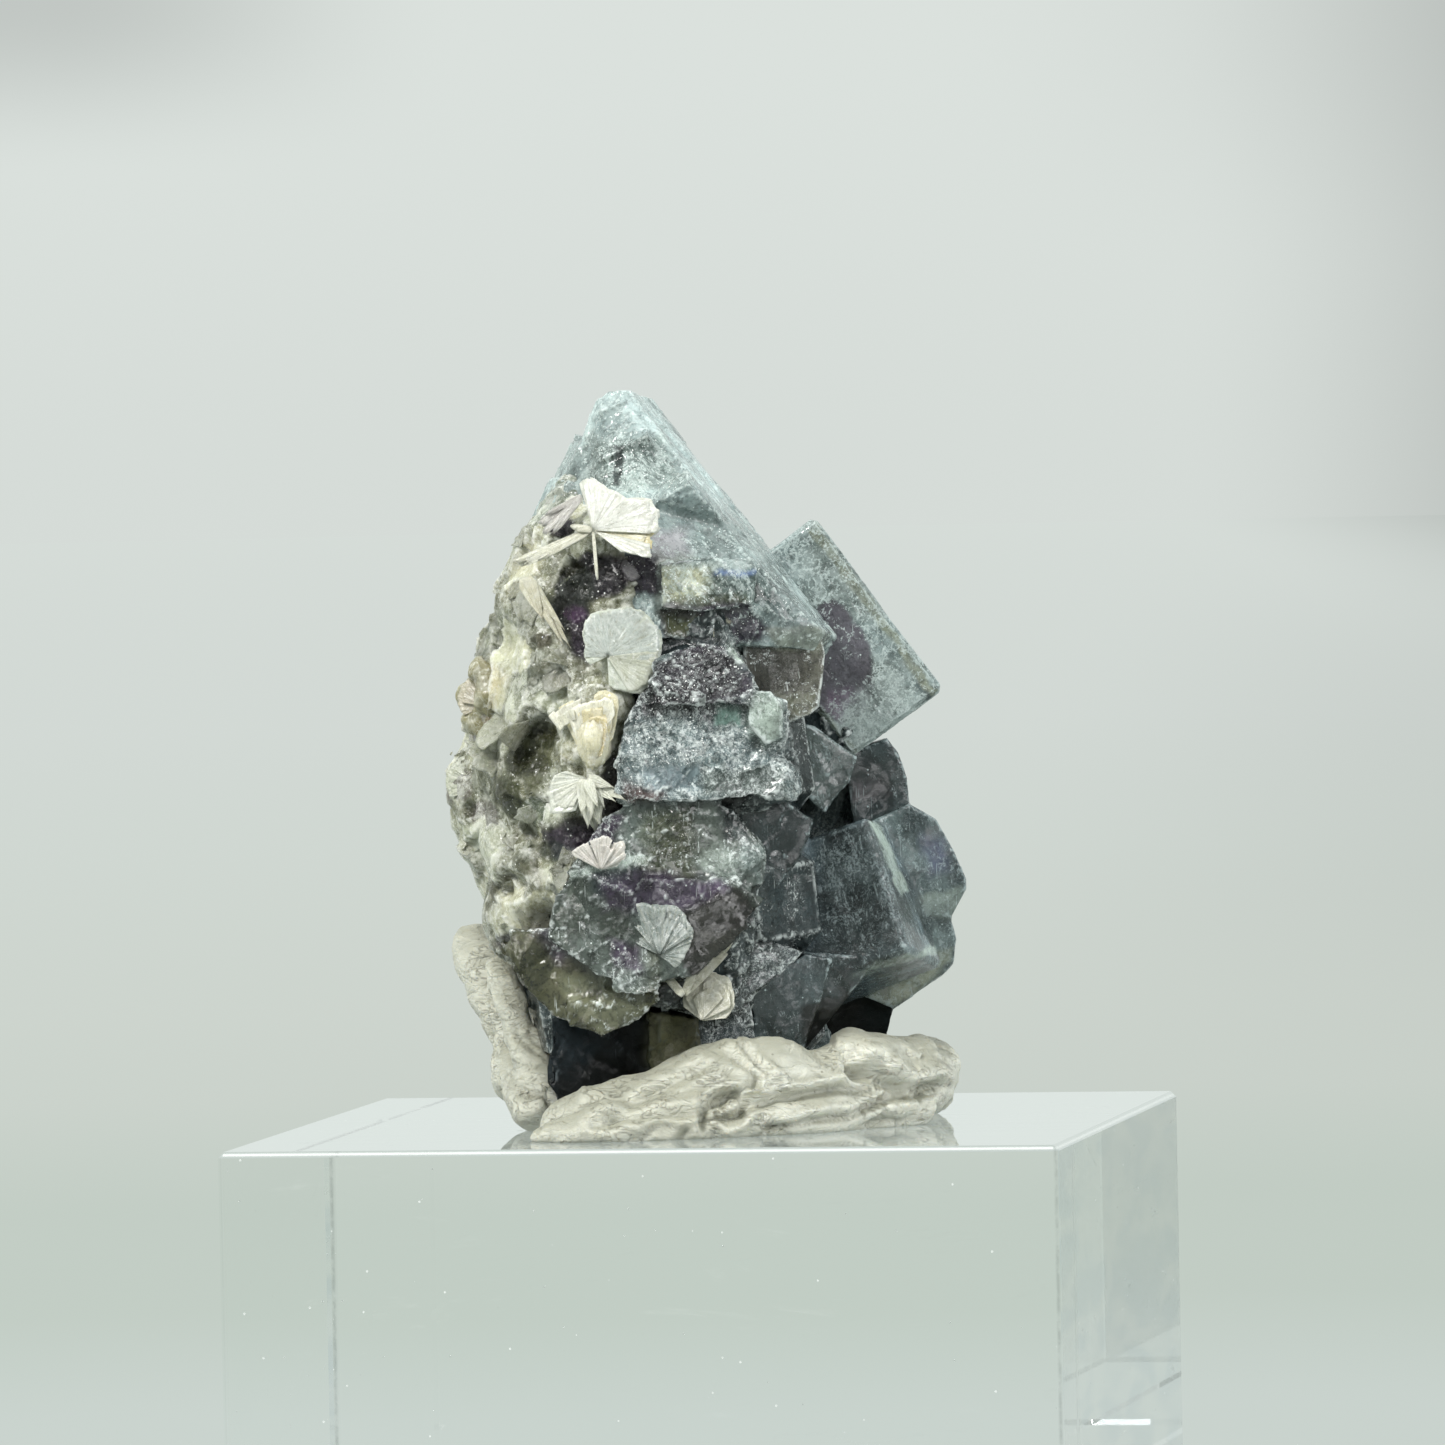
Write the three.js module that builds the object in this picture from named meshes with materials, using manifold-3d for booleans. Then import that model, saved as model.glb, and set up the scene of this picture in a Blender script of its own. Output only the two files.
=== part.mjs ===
// Phantom fluorite specimen: intergrown fluorite cubes with a flank of mica,
// held by putty on a clear acrylic block.
// Millimetres, +Z up. The origin is the middle of the block's underside, and the block's sides face X and Y.
// The specimen has a frame of its own on the block's top: x to its right, y towards its back, z up.

import * as THREE from 'three';
import { ConvexGeometry } from 'three/addons/geometries/ConvexGeometry.js';
import { mergeVertices } from 'three/addons/utils/BufferGeometryUtils.js';
import Module from 'manifold-3d';

const wasm = await Module();
wasm.setup();

// Driving dimensions
const BLOCK_SIDE = 50;
const BLOCK_HEIGHT = 25;
const BLOCK_CHAMFER = 0.35;
const SPECIMEN_TURN = 10;
const PIECE_GAP = 0.3;
const CRYSTAL_BEVEL = 0.22;
const OUTLINE_BEVEL = 0.2;
const SMALL_CUBE_COUNT = 22;
const LUMP_POINTS = 12;

const deg = THREE.MathUtils.degToRad;
const vec = (values) => new THREE.Vector3(...values);

// Repeatable scatter for the small crystals and flakes
function makeRandom(seed) {
  let state = seed;
  return () => {
    state = (state * 16807) % 2147483647;
    return state / 2147483647;
  };
}

// Solids

function toSolid(geometry) {
  const bare = geometry.clone();
  bare.deleteAttribute('normal');
  bare.deleteAttribute('uv');
  const merged = mergeVertices(bare, 1e-5);
  return new wasm.Manifold(new wasm.Mesh({
    numProp: 3,
    vertProperties: new Float32Array(merged.attributes.position.array),
    triVerts: new Uint32Array(merged.index.array),
  }));
}

function toGeometry(solid) {
  const mesh = solid.getMesh();
  const geometry = new THREE.BufferGeometry();
  geometry.setAttribute('position', new THREE.BufferAttribute(new Float32Array(mesh.vertProperties), 3));
  geometry.setIndex(new THREE.BufferAttribute(new Uint32Array(mesh.triVerts), 1));
  geometry.computeVertexNormals();
  return geometry;
}

function hullOf(points) {
  return toSolid(new ConvexGeometry(points));
}

function join(solids) {
  return solids.reduce((whole, solid) => whole.add(solid));
}

function largestBody(solid) {
  return solid.decompose().reduce((best, body) => (body.volume() > best.volume() ? body : best));
}

// The corners of a box whose edges are bevelled: each corner becomes three points
function bevelledCorners([width, depth, height], bevel) {
  const half = [width / 2, depth / 2, height / 2];
  const corners = [];
  for (const sx of [-1, 1]) {
    for (const sy of [-1, 1]) {
      for (const sz of [-1, 1]) {
        for (let face = 0; face < 3; face += 1) {
          const inset = half.map((value, axis) => (axis === face ? value : value - bevel));
          corners.push(new THREE.Vector3(sx * inset[0], sy * inset[1], sz * inset[2]));
        }
      }
    }
  }
  return corners;
}

function boxCorners(size) {
  const corners = [];
  for (const sx of [-1, 1]) {
    for (const sy of [-1, 1]) {
      for (const sz of [-1, 1]) {
        corners.push(new THREE.Vector3((sx * size[0]) / 2, (sy * size[1]) / 2, (sz * size[2]) / 2));
      }
    }
  }
  return corners;
}

// spin turns a crystal clockwise as seen from the front, tip leans its top forwards,
// and yaw turns it about the vertical
function placement({ at, spin = 0, tip = 0, yaw = 0 }) {
  const turn = new THREE.Euler(deg(tip), deg(spin), deg(yaw), 'ZXY');
  return new THREE.Matrix4().makeRotationFromEuler(turn).setPosition(vec(at));
}

// A crystal drawn by its outline in the picture plane, [x, z] points, with its front at y = front.
// slope says how the front runs back to the right and upwards, and lean shifts the back's outline.
function outlineCorners({ outline, front, slope = [0, 0], depth, lean = [0, 0], taper = 0.9 }) {
  const middle = [0, 1].map((axis) => outline.reduce((sum, p) => sum + p[axis], 0) / outline.length);
  const ring = (scale, back, shift) => outline.map(([x, z]) => {
    const dx = (x - middle[0]) * scale;
    const dz = (z - middle[1]) * scale;
    const y = front + back + slope[0] * dx + slope[1] * dz;
    return [middle[0] + dx + shift[0], y, middle[1] + dz + shift[1]];
  });
  return [
    ...ring(1 - OUTLINE_BEVEL / 2.5, 0, [0, 0]),
    ...ring(1, OUTLINE_BEVEL, [0, 0]),
    ...ring(taper, depth, lean),
  ];
}

function crystalPoints(crystal, growth = 0) {
  const corners = crystal.outline ? outlineCorners(crystal) : crystal.corners;
  if (corners) {
    const points = corners.map(vec);
    const middle = points.reduce((sum, p) => sum.add(p), new THREE.Vector3()).divideScalar(points.length);
    return points.map((p) => p.addScaledVector(p.clone().sub(middle).normalize(), growth * 1.3));
  }
  const size = crystal.size.map((value) => value + 2 * growth);
  const bevel = crystal.bevel ?? CRYSTAL_BEVEL;
  const matrix = placement(crystal);
  const points = bevel > 0 ? bevelledCorners(size, bevel) : boxCorners(size);
  return points.map((p) => p.applyMatrix4(matrix));
}

function crystalSolid(crystal, growth = 0) {
  return hullOf(crystalPoints(crystal, growth));
}

// Fluorite: the main crystals, each a cube, a block or a wedge of one

const SUMMIT = {
  corners: [
    [-5.9, -2.6, 43.6], [-5.8, 1.4, 43.4], [-5.1, -2.8, 44.2], [-3.8, -3.2, 44.2], [-4.4, 1.8, 44.1],
    [-2.5, 2.5, 43.6], [-6.3, 0.2, 42.2], [8.0, -9.0, 29.6], [8.9, -5.0, 29.0], [9.2, 2.5, 28.6],
    [7.4, -8.6, 28.4], [3.4, -9.6, 33.5], [-2.6, -12.4, 33.5], [-6.0, -10.8, 33.0], [-8.6, -3.6, 36.4],
    [-8.9, 1.0, 35.6], [-9.4, -6.0, 31.0], [-3.0, -12.4, 29.5], [3.0, -10.2, 29.0], [-6.5, 7.0, 32.0],
    [5.8, 7.5, 29.0], [0.5, 8.0, 37.5], [-8.0, 5.0, 27.0], [6.0, 6.0, 25.0],
  ],
};

// the block that stands out to the right
const RIGHT_BLOCK = {
  at: [8.3, 2.2, 28.7], size: [6.6, 8.2, 12.5], spin: -35.5, tip: -3, yaw: 1, bevel: 0.3,
};

// the smoky corner under the summit's right end
const SMOKY_CORNER = {
  outline: [[2.6, 29.2], [7.3, 29.3], [7.5, 28.3], [7.1, 25.1], [6.6, 24.7], [5.0, 24.1], [2.6, 24.4]],
  front: -9.0, slope: [0.12, 0.1], depth: 8,
};

// the small dark cube between the right block and the lower cubes
const SMALL_DARK_CUBE = {
  outline: [[5.0, 23.4], [6.2, 24.0], [6.8, 23.8], [9.4, 21.9], [8.9, 20.4], [7.3, 18.6], [5.0, 20.8]],
  front: -4.6, slope: [0.2, 0.1], depth: 6,
};

const CUBE_BEHIND = {
  outline: [[8.6, 22.0], [11.2, 22.9], [11.9, 22.0], [12.4, 20.3], [12.6, 18.6], [9.0, 17.6]],
  front: -0.6, slope: [0.2, 0], depth: 7,
};

// the large dark cube at the lower right, and the two that grow out of its right side
const GREAT_CUBE = {
  at: [7.4, -2.6, 12.0], size: [10.4, 6.4, 8.8], spin: -21, yaw: -20, tip: -12, bevel: 0.3,
};

const UPPER_RIGHT_CUBE = {
  outline: [
    [9.6, 17.8], [12.4, 19.0], [14.1, 18.0], [14.9, 16.5], [15.8, 14.4], [15.8, 13.6],
    [14.9, 11.9], [11.2, 12.8],
  ],
  front: -1.6, slope: [0.35, 0], depth: 7,
};

const LOWER_RIGHT_CUBE = {
  outline: [[11.2, 12.6], [14.7, 12.6], [15.2, 10.7], [15.0, 9.2], [14.4, 8.5], [11.3, 6.5], [9.0, 7.6]],
  front: -0.8, slope: [0.3, -0.3], depth: 6,
};

const FOOT_CUBE_RIGHT = {
  outline: [[8.0, 9.4], [11.9, 8.6], [11.3, 6.4], [10.8, 4.6], [8.6, 3.4], [6.6, 4.4]],
  front: 0.4, slope: [0.1, -0.4], depth: 6,
};

// the frosted block in the middle of the front, its broken crown and its pale tongue
const FROSTED_BLOCK = {
  outline: [
    [-4.7, 23.9], [-3.6, 26.4], [-2.6, 26.8], [2.4, 26.5], [5.2, 25.7], [5.0, 20.1], [-0.1, 19.8],
    [-2.8, 20.0],
  ],
  front: -14.0, slope: [0.16, 0.1], depth: 9,
};

const BROKEN_CROWN = {
  outline: [[-2.8, 28.4], [0.1, 29.3], [2.1, 29.1], [3.4, 27.3], [3.0, 25.4], [-2.9, 25.6]],
  front: -13.6, slope: [0.12, 0.45], depth: 7,
};

const PALE_TONGUE = {
  outline: [[2.8, 25.7], [3.4, 26.4], [4.2, 26.3], [4.9, 25.4], [4.9, 23.5], [3.8, 23.0], [2.8, 24.3]],
  front: -13.9, slope: [0.1, 0.1], depth: 3,
};

// the dark crystal beside the front bulge
const SLANTED_CRYSTAL = {
  outline: [[2.2, 19.6], [4.8, 19.7], [6.7, 18.3], [6.4, 17.4], [5.7, 15.9], [3.7, 13.6], [2.2, 12.4]],
  front: -9.2, slope: [0.45, 0], depth: 7,
};

// the two pale translucent crystals of the front bulge
const PALE_CRYSTAL_UPPER = {
  outline: [
    [-5.6, 18.4], [-3.7, 19.7], [-0.1, 20.2], [1.9, 19.3], [2.6, 18.3], [3.7, 16.9], [3.6, 14.8],
    [-0.2, 12.6], [-5.8, 13.6],
  ],
  front: -14.0, slope: [0.22, 0.1], depth: 9,
};

const PALE_CRYSTAL_LOWER = {
  outline: [[-4.6, 14.4], [1.9, 15.4], [3.5, 13.7], [1.9, 11.7], [-0.5, 9.5], [-3.8, 8.8], [-6.2, 11.2]],
  front: -14.9, slope: [0.14, 0.06], depth: 9,
};

// the flat olive shield low on the left of the front
const OLIVE_SHIELD = {
  outline: [
    [-11.6, 9.9], [-9.2, 7.1], [-6.2, 5.9], [-4.0, 7.0], [-2.7, 8.1], [-2.9, 11.4], [-8.0, 12.6],
    [-11.6, 12.4],
  ],
  front: -13.9, slope: [-0.3, 0.02], depth: 7,
};

// the crystals that step down to the putty
const FOOT_CRYSTALS = [
  {
    outline: [[1.3, 11.3], [3.8, 11.4], [6.0, 10.6], [4.8, 9.5], [3.3, 8.4], [1.9, 7.6], [1.2, 8.9]],
    front: -10.9, slope: [0.3, 0.1], depth: 6,
  },
  {
    outline: [[2.7, 8.6], [6.0, 10.5], [7.6, 10.1], [6.9, 7.8], [5.8, 4.6], [2.7, 4.6]],
    front: -9.4, slope: [0.25, -0.1], depth: 7,
  },
  {
    outline: [[5.8, 10.6], [9.9, 10.0], [9.4, 8.8], [6.9, 8.0], [5.8, 4.4], [3.8, 4.6]],
    front: -7.4, slope: [0.3, -0.2], depth: 7,
  },
  {
    outline: [[-0.8, 8.0], [2.8, 8.2], [3.0, 4.4], [-0.6, 2.6]],
    front: -10.4, slope: [0.1, -0.1], depth: 7,
  },
  {
    outline: [
      [-9.4, 7.0], [-6.4, 7.4], [-3.2, 7.0], [-2.8, 3.4], [-4.1, 1.3], [-6.5, 0.9], [-8.8, 1.7], [-9.5, 2.9],
    ],
    front: -9.2, slope: [-0.1, 0], depth: 9,
  },
  // the rounded olive lump under the shield
  {
    outline: [[-3.6, 7.2], [-0.4, 7.0], [-0.3, 5.1], [-1.0, 3.8], [-2.9, 2.7], [-3.6, 4.3]],
    front: -11.4, slope: [0.05, 0], depth: 5, taper: 1,
  },
];

// terraces that step down the summit's front
const SUMMIT_TERRACES = [
  { at: [-4.4, -3.2, 42.2], size: [2.0, 1.4, 2.6], spin: -22, tip: 6, yaw: 4, bevel: 0.1 },
  { at: [-3.4, -5.0, 39.6], size: [3.4, 1.4, 3.8], spin: -30, tip: 24, yaw: 4, bevel: 0.1 },
  { at: [-1.3, -7.9, 36.7], size: [4.6, 1.6, 3.8], spin: -36, tip: 34, yaw: 4, bevel: 0.1 },
  {
    outline: [[-2.4, 34.0], [0.2, 34.3], [3.3, 34.1], [3.7, 33.3], [3.2, 31.3], [0.1, 30.9], [-2.3, 31.2]],
    front: -12.7, slope: [0.28, -0.1], depth: 5,
  },
  { at: [-6.3, -0.8, 40.4], size: [1.3, 2.2, 1.6], spin: 16, tip: 10, yaw: 24, bevel: 0 },
];

const MAIN_CRYSTALS = [
  SUMMIT,
  ...SUMMIT_TERRACES,
  RIGHT_BLOCK,
  SMOKY_CORNER,
  SMALL_DARK_CUBE,
  CUBE_BEHIND,
  GREAT_CUBE,
  UPPER_RIGHT_CUBE,
  LOWER_RIGHT_CUBE,
  FOOT_CUBE_RIGHT,
  FROSTED_BLOCK,
  BROKEN_CROWN,
  PALE_TONGUE,
  SLANTED_CRYSTAL,
  PALE_CRYSTAL_UPPER,
  PALE_CRYSTAL_LOWER,
  OLIVE_SHIELD,
  ...FOOT_CRYSTALS,
];

// The body that the crystals grow from, hidden by them except at the back
const CORE_LUMPS = [
  { at: [-1.8, 0.0, 31.0], size: [12.0, 14.0, 11.0], spin: -28, bevel: 3.2 },
  { at: [-2.4, -1.4, 21.6], size: [17.0, 17.0, 13.0], spin: -8, yaw: 6, bevel: 3.8 },
  { at: [-1.8, -1.6, 12.8], size: [18.0, 17.0, 11.0], spin: -6, yaw: -4, bevel: 3.4 },
  { at: [0.0, -0.6, 6.6], size: [14.0, 12.0, 8.0], spin: -4, bevel: 2.2 },
];

// Larger cubes that finish the sides and the back
const BACK_CRYSTALS = [
  { at: [-2.8, 5.4, 33.2], size: [6.6, 6.0, 7.4], spin: -34, yaw: 16, tip: 10 },
  { at: [2.6, 6.0, 29.6], size: [6.4, 6.4, 7.0], spin: -40, yaw: -22, tip: 12 },
  { at: [-6.0, 5.6, 24.6], size: [7.4, 6.6, 7.0], spin: 24, yaw: 30, tip: -6 },
  { at: [1.6, 7.0, 21.6], size: [8.6, 6.2, 8.2], spin: -18, yaw: -8, tip: 6 },
  { at: [7.6, 5.0, 19.0], size: [5.8, 6.0, 6.0], spin: 12, yaw: -34, tip: -6 },
  { at: [-6.8, 5.0, 14.4], size: [7.2, 7.0, 7.4], spin: -34, yaw: 22, tip: -10 },
  { at: [0.4, 7.2, 11.8], size: [8.0, 6.0, 7.6], spin: 30, yaw: 12, tip: -8 },
  { at: [6.6, 5.6, 9.4], size: [6.8, 6.2, 6.4], spin: -26, yaw: -18, tip: -12 },
  { at: [-3.4, 4.6, 5.8], size: [7.6, 6.0, 5.8], spin: 14, yaw: 18, tip: -16 },
];

// Small cubes, turned every way, over the back
function smallCubes() {
  const random = makeRandom(29);
  const goldenShare = 0.381966;
  const cubes = [];
  for (let i = 0; i < SMALL_CUBE_COUNT; i += 1) {
    const level = (i + 0.5) / SMALL_CUBE_COUNT;
    const bearing = Math.PI * (0.06 + 0.86 * ((i * goldenShare) % 1));
    const reach = 4.6 + 4.6 * Math.sin(Math.PI * (0.16 + 0.78 * level)) ** 0.8;
    const side = 2.0 + 2.2 * random() ** 1.6;
    cubes.push({
      at: [reach * Math.cos(bearing) - 0.6 - 3.2 * level ** 2, reach * Math.sin(bearing), 4.4 + 30.6 * level],
      size: [side, side * (0.8 + 0.4 * random()), side * (0.8 + 0.4 * random())],
      spin: 90 * random() - 45,
      tip: 60 * random() - 30,
      yaw: 90 * random() - 45,
      bevel: 0,
    });
  }
  return cubes;
}

const FLUORITE = [...MAIN_CRYSTALS, ...CORE_LUMPS, ...BACK_CRYSTALS, ...smallCubes()];

// Mica crust: angular lumps of packed flakes down the left flank.
// r is a lump's reach to the side, forwards and up.

const CRUST_LUMPS = [
  { at: [-7.0, -2.6, 37.0], r: [1.9, 2.4, 2.6] },
  { at: [-7.2, -6.4, 35.2], r: [2.4, 2.8, 2.4] },
  { at: [-8.6, -3.4, 34.2], r: [2.2, 3.0, 2.2] },
  { at: [-4.6, -9.8, 32.4], r: [2.0, 2.4, 2.2] },
  { at: [-7.8, -7.0, 32.0], r: [2.6, 3.0, 2.4] },
  { at: [-10.2, -3.8, 31.4], r: [2.4, 3.2, 2.4] },
  { at: [-10.8, -1.4, 28.8], r: [2.6, 3.2, 2.4] },
  { at: [-5.2, -10.4, 29.2], r: [2.4, 2.8, 2.6] },
  { at: [-8.4, -7.4, 28.6], r: [2.6, 3.4, 2.4] },
  { at: [-11.2, -3.4, 26.4], r: [2.6, 3.4, 2.4] },
  { at: [-6.2, -10.8, 25.8], r: [2.6, 3.0, 2.4] },
  { at: [-9.2, -7.4, 25.0], r: [2.6, 3.4, 2.4] },
  { at: [-12.2, -1.0, 24.0], r: [2.2, 3.2, 2.0] },
  { at: [-10.8, -5.0, 22.4], r: [2.6, 3.6, 2.4] },
  { at: [-12.8, -0.8, 20.8], r: [2.5, 3.4, 2.4] },
  { at: [-6.6, -11.0, 22.2], r: [2.6, 2.8, 2.2] },
  { at: [-9.2, -8.4, 20.2], r: [2.8, 3.2, 2.4] },
  { at: [-12.8, -2.0, 18.0], r: [2.4, 3.2, 2.2] },
  { at: [-11.0, -5.6, 17.6], r: [2.4, 3.2, 2.4] },
  { at: [-7.0, -11.4, 18.4], r: [2.4, 2.6, 2.2] },
  { at: [-11.4, -1.6, 14.8], r: [2.3, 3.4, 2.4] },
  { at: [-9.6, -8.4, 15.4], r: [2.6, 3.0, 2.4] },
  { at: [-7.0, -12.0, 14.8], r: [2.2, 2.6, 2.0] },
  { at: [-10.8, -5.6, 12.6], r: [2.2, 4.0, 2.4] },
];

// A lump is the hull of points scattered evenly over an ellipsoid, some pulled in at random
function lumpPoints(lump, seed, growth = 0) {
  const random = makeRandom(seed * 977);
  const points = [];
  for (let i = 0; i < LUMP_POINTS; i += 1) {
    const height = 1 - (2 * i + 1) / LUMP_POINTS;
    const round = Math.sqrt(1 - height * height);
    const bearing = 2.4 * i + seed;
    const push = 0.84 + 0.3 * random();
    points.push(new THREE.Vector3(
      lump.at[0] + Math.cos(bearing) * round * (lump.r[0] * push + growth),
      lump.at[1] + Math.sin(bearing) * round * (lump.r[1] * push + growth),
      lump.at[2] + height * (lump.r[2] * push + growth),
    ));
  }
  return points;
}

// Mica rosettes. A fan is one pleated sheet, and a flower is a ring of separate petals.
// from and to are its limits, clockwise from straight up as seen from the front,
// and lean brings the tips forwards.

const ROSETTES = [
  {
    name: 'mica_fan_top', hinge: [-6.2, -11.8, 35.4], from: -22, to: 122,
    fan: true, blades: 9, length: 4.0, lean: 0.3,
  },
  {
    name: 'mica_blades_left', hinge: [-6.6, -11.2, 35.2], from: -118, to: -104,
    blades: 2, length: 4.7, width: 1.0, lean: 0,
  },
  {
    name: 'mica_blade_lower_left', hinge: [-10.4, -9.0, 33.4], from: 143, to: 156,
    blades: 2, length: 5.4, width: 1.1, lean: 0.3,
  },
  {
    name: 'mica_flake_upper_left', hinge: [-7.2, -9.0, 36.6], from: -110, to: -50,
    blades: 3, length: 2.8, width: 1.6, lean: 0.1,
  },
  {
    name: 'mica_fan_middle', hinge: [-6.2, -13.0, 29.4], from: 5, to: 128,
    fan: true, blades: 8, length: 4.4, lean: 0.15,
  },
  {
    name: 'mica_shell_centre', hinge: [-5.0, -14.0, 24.2], from: -80, to: 62,
    fan: true, blades: 8, length: 2.9, lean: 0.5,
  },
  {
    name: 'mica_flower_centre', hinge: [-6.8, -13.4, 21.4], from: 112, to: 248,
    blades: 5, length: 3.2, width: 1.5, lean: 0.4,
  },
  {
    name: 'mica_fan_low_centre', hinge: [-5.9, -14.4, 15.8], from: -66, to: 78,
    blades: 4, length: 2.4, width: 1.6, lean: 0.4,
  },
  {
    name: 'mica_fan_grey', hinge: [-2.2, -15.1, 10.2], from: -44, to: 52,
    fan: true, blades: 8, length: 3.7, lean: 0.1,
  },
  {
    name: 'mica_shells_left', hinge: [-13.2, -3.8, 20.6], from: -130, to: -10,
    blades: 4, length: 2.1, width: 1.7, lean: 0.5,
  },
  {
    name: 'mica_knobs_left', hinge: [-12.6, -4.4, 26.2], from: -110, to: 20,
    blades: 4, length: 2.0, width: 1.6, lean: 0.6,
  },
  {
    name: 'mica_lump_low', hinge: [-0.9, -13.8, 6.6], from: -24, to: 58,
    fan: true, blades: 5, length: 3.2, lean: 0.3,
  },
  {
    name: 'mica_blade_low', hinge: [-0.8, -13.8, 8.6], from: 34, to: 48,
    blades: 2, length: 4.2, width: 0.7, lean: 0,
  },
];

function bladeDirection(rosette, share, index) {
  const angle = deg(rosette.from + (rosette.to - rosette.from) * share);
  const lean = rosette.lean * (0.8 + 0.4 * ((index * 0.618) % 1));
  return new THREE.Vector3(Math.sin(angle), -lean, Math.cos(angle)).normalize();
}

// Neighbouring blades differ in length, which makes the jagged rim
function bladeLength(rosette, index) {
  return rosette.length * (0.86 + 0.24 * ((index * 0.414 + 0.3) % 1));
}

// One petal: narrow at the hinge, wide near its end
function petalPoints(rosette, share, index, growth) {
  const along = bladeDirection(rosette, share, index);
  const front = new THREE.Vector3(0, -1, 0);
  const facing = front.clone().addScaledVector(along, -along.dot(front)).normalize();
  const normal = facing.applyAxisAngle(along, index % 2 ? 0.35 : -0.25);
  const across = along.clone().cross(normal);
  const rows = [[0, 0.3, 0.32], [0.7, 1.0, 0.22], [1.0, 0.5, 0.16]];
  const points = [];
  for (const [reach, spread, thick] of rows) {
    for (const side of [-1, 1]) {
      for (const face of [-1, 1]) {
        points.push(vec(rosette.hinge)
          .addScaledVector(along, reach * (bladeLength(rosette, index) + growth))
          .addScaledVector(across, side * (spread * rosette.width / 2 + growth))
          .addScaledVector(normal, face * (thick + growth)));
      }
    }
  }
  return points;
}

function flowerSolid(rosette, growth) {
  const petals = [];
  for (let i = 0; i < rosette.blades; i += 1) {
    petals.push(hullOf(petalPoints(rosette, i / (rosette.blades - 1), i, growth)));
  }
  return join(petals);
}

// A pleated sheet of even thickness: rows run from the hinge to the rim, columns along the fan's angle
function fanSolid(rosette, growth) {
  const rows = [0.1, 0.55, 1];
  const pleat = 0.22;
  const thick = 0.2 + growth;
  const columns = rosette.blades + 1;
  const last = columns - 1;
  const vertices = [];
  for (const face of [-1, 1]) {
    for (const reach of rows) {
      for (let j = 0; j < columns; j += 1) {
        const along = bladeDirection(rosette, j / rosette.blades, j);
        const fold = (j % 2 ? pleat : -pleat) * reach;
        vertices.push(vec(rosette.hinge)
          .addScaledVector(along, reach * (bladeLength(rosette, j) + growth))
          .add(new THREE.Vector3(0, fold + face * thick, 0)));
      }
    }
  }
  const at = (face, row, column) => (face * rows.length + row) * columns + column;
  const index = [];
  const quad = (a, b, c, d) => index.push(a, b, c, a, c, d);
  for (let row = 0; row + 1 < rows.length; row += 1) {
    for (let j = 0; j + 1 < columns; j += 1) {
      quad(at(0, row, j), at(0, row, j + 1), at(0, row + 1, j + 1), at(0, row + 1, j));
      quad(at(1, row, j), at(1, row + 1, j), at(1, row + 1, j + 1), at(1, row, j + 1));
    }
    quad(at(0, row, 0), at(0, row + 1, 0), at(1, row + 1, 0), at(1, row, 0));
    quad(at(0, row, last), at(1, row, last), at(1, row + 1, last), at(0, row + 1, last));
  }
  const rim = rows.length - 1;
  for (let j = 0; j + 1 < columns; j += 1) {
    quad(at(0, 0, j), at(1, 0, j), at(1, 0, j + 1), at(0, 0, j + 1));
    quad(at(0, rim, j), at(0, rim, j + 1), at(1, rim, j + 1), at(1, rim, j));
  }
  const sheet = new THREE.BufferGeometry().setFromPoints(vertices);
  sheet.setIndex(index);
  return toSolid(sheet);
}

function rosetteSolid(rosette, growth = 0) {
  return rosette.fan ? fanSolid(rosette, growth) : flowerSolid(rosette, growth);
}

// Mounting putty: rolls pressed round the specimen's foot, each a chain of balls [x, y, z, radius]

const PUTTY_ROLLS = [
  // the main roll along the front and the right
  [
    [-8.6, -13.6, 0.9, 1.4], [-6.2, -14.6, 1.3, 1.9], [-3.2, -14.0, 1.8, 2.3], [-0.2, -13.2, 2.3, 2.9],
    [3.4, -12.0, 2.7, 3.0], [6.2, -10.8, 2.2, 2.5], [9.0, -8.6, 2.8, 2.5], [12.4, -3.4, 2.7, 2.4],
    [13.0, 2.2, 2.2, 2.2], [8.6, 7.6, 2.2, 2.3], [2.0, 9.2, 2.1, 2.4], [-6.0, 8.4, 2.6, 2.6],
  ],
  // the sheet that climbs the left side, with its free end
  [
    [-6.0, 8.4, 2.6, 2.6], [-11.0, 4.2, 3.2, 2.2], [-10.8, -1.6, 3.0, 1.8], [-10.4, -6.4, 1.5, 1.4],
  ],
  [
    [-10.9, 2.0, 4.0, 1.8], [-12.6, 4.4, 7.8, 1.6], [-13.8, 6.4, 10.3, 1.6],
  ],
  [
    [-9.7, -6.0, 2.4, 1.3], [-11.2, -4.4, 5.8, 1.2], [-12.3, -2.2, 9.8, 1.0],
  ],
  // the smear that runs forwards under the front roll
  [
    [-9.9, -16.4, 0.2, 0.7], [-6.6, -17.0, 0.5, 1.3], [-1.4, -16.0, 0.8, 1.7], [4.4, -13.8, 0.9, 1.7],
    [11.8, -7.6, 1.0, 1.5],
  ],
  // folds on top of the roll
  [[0.2, -14.4, 3.3, 1.4], [4.6, -12.8, 2.6, 1.7]],
  [[9.0, -8.4, 4.0, 1.5], [13.6, -1.4, 3.2, 1.4]],
  // the bed under the crystals
  [[-8.0, -6.0, 0.8, 1.6], [7.6, -3.0, 0.8, 2.0], [6.0, 4.0, 0.8, 2.0], [-6.0, 5.0, 0.8, 2.0]],
];

function puttyBall([x, y, z, radius]) {
  const ball = new THREE.IcosahedronGeometry(radius, 1);
  ball.translate(x, y, z);
  const position = ball.attributes.position;
  const points = [];
  for (let i = 0; i < position.count; i += 1) {
    points.push(new THREE.Vector3().fromBufferAttribute(position, i));
  }
  return points;
}

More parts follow.
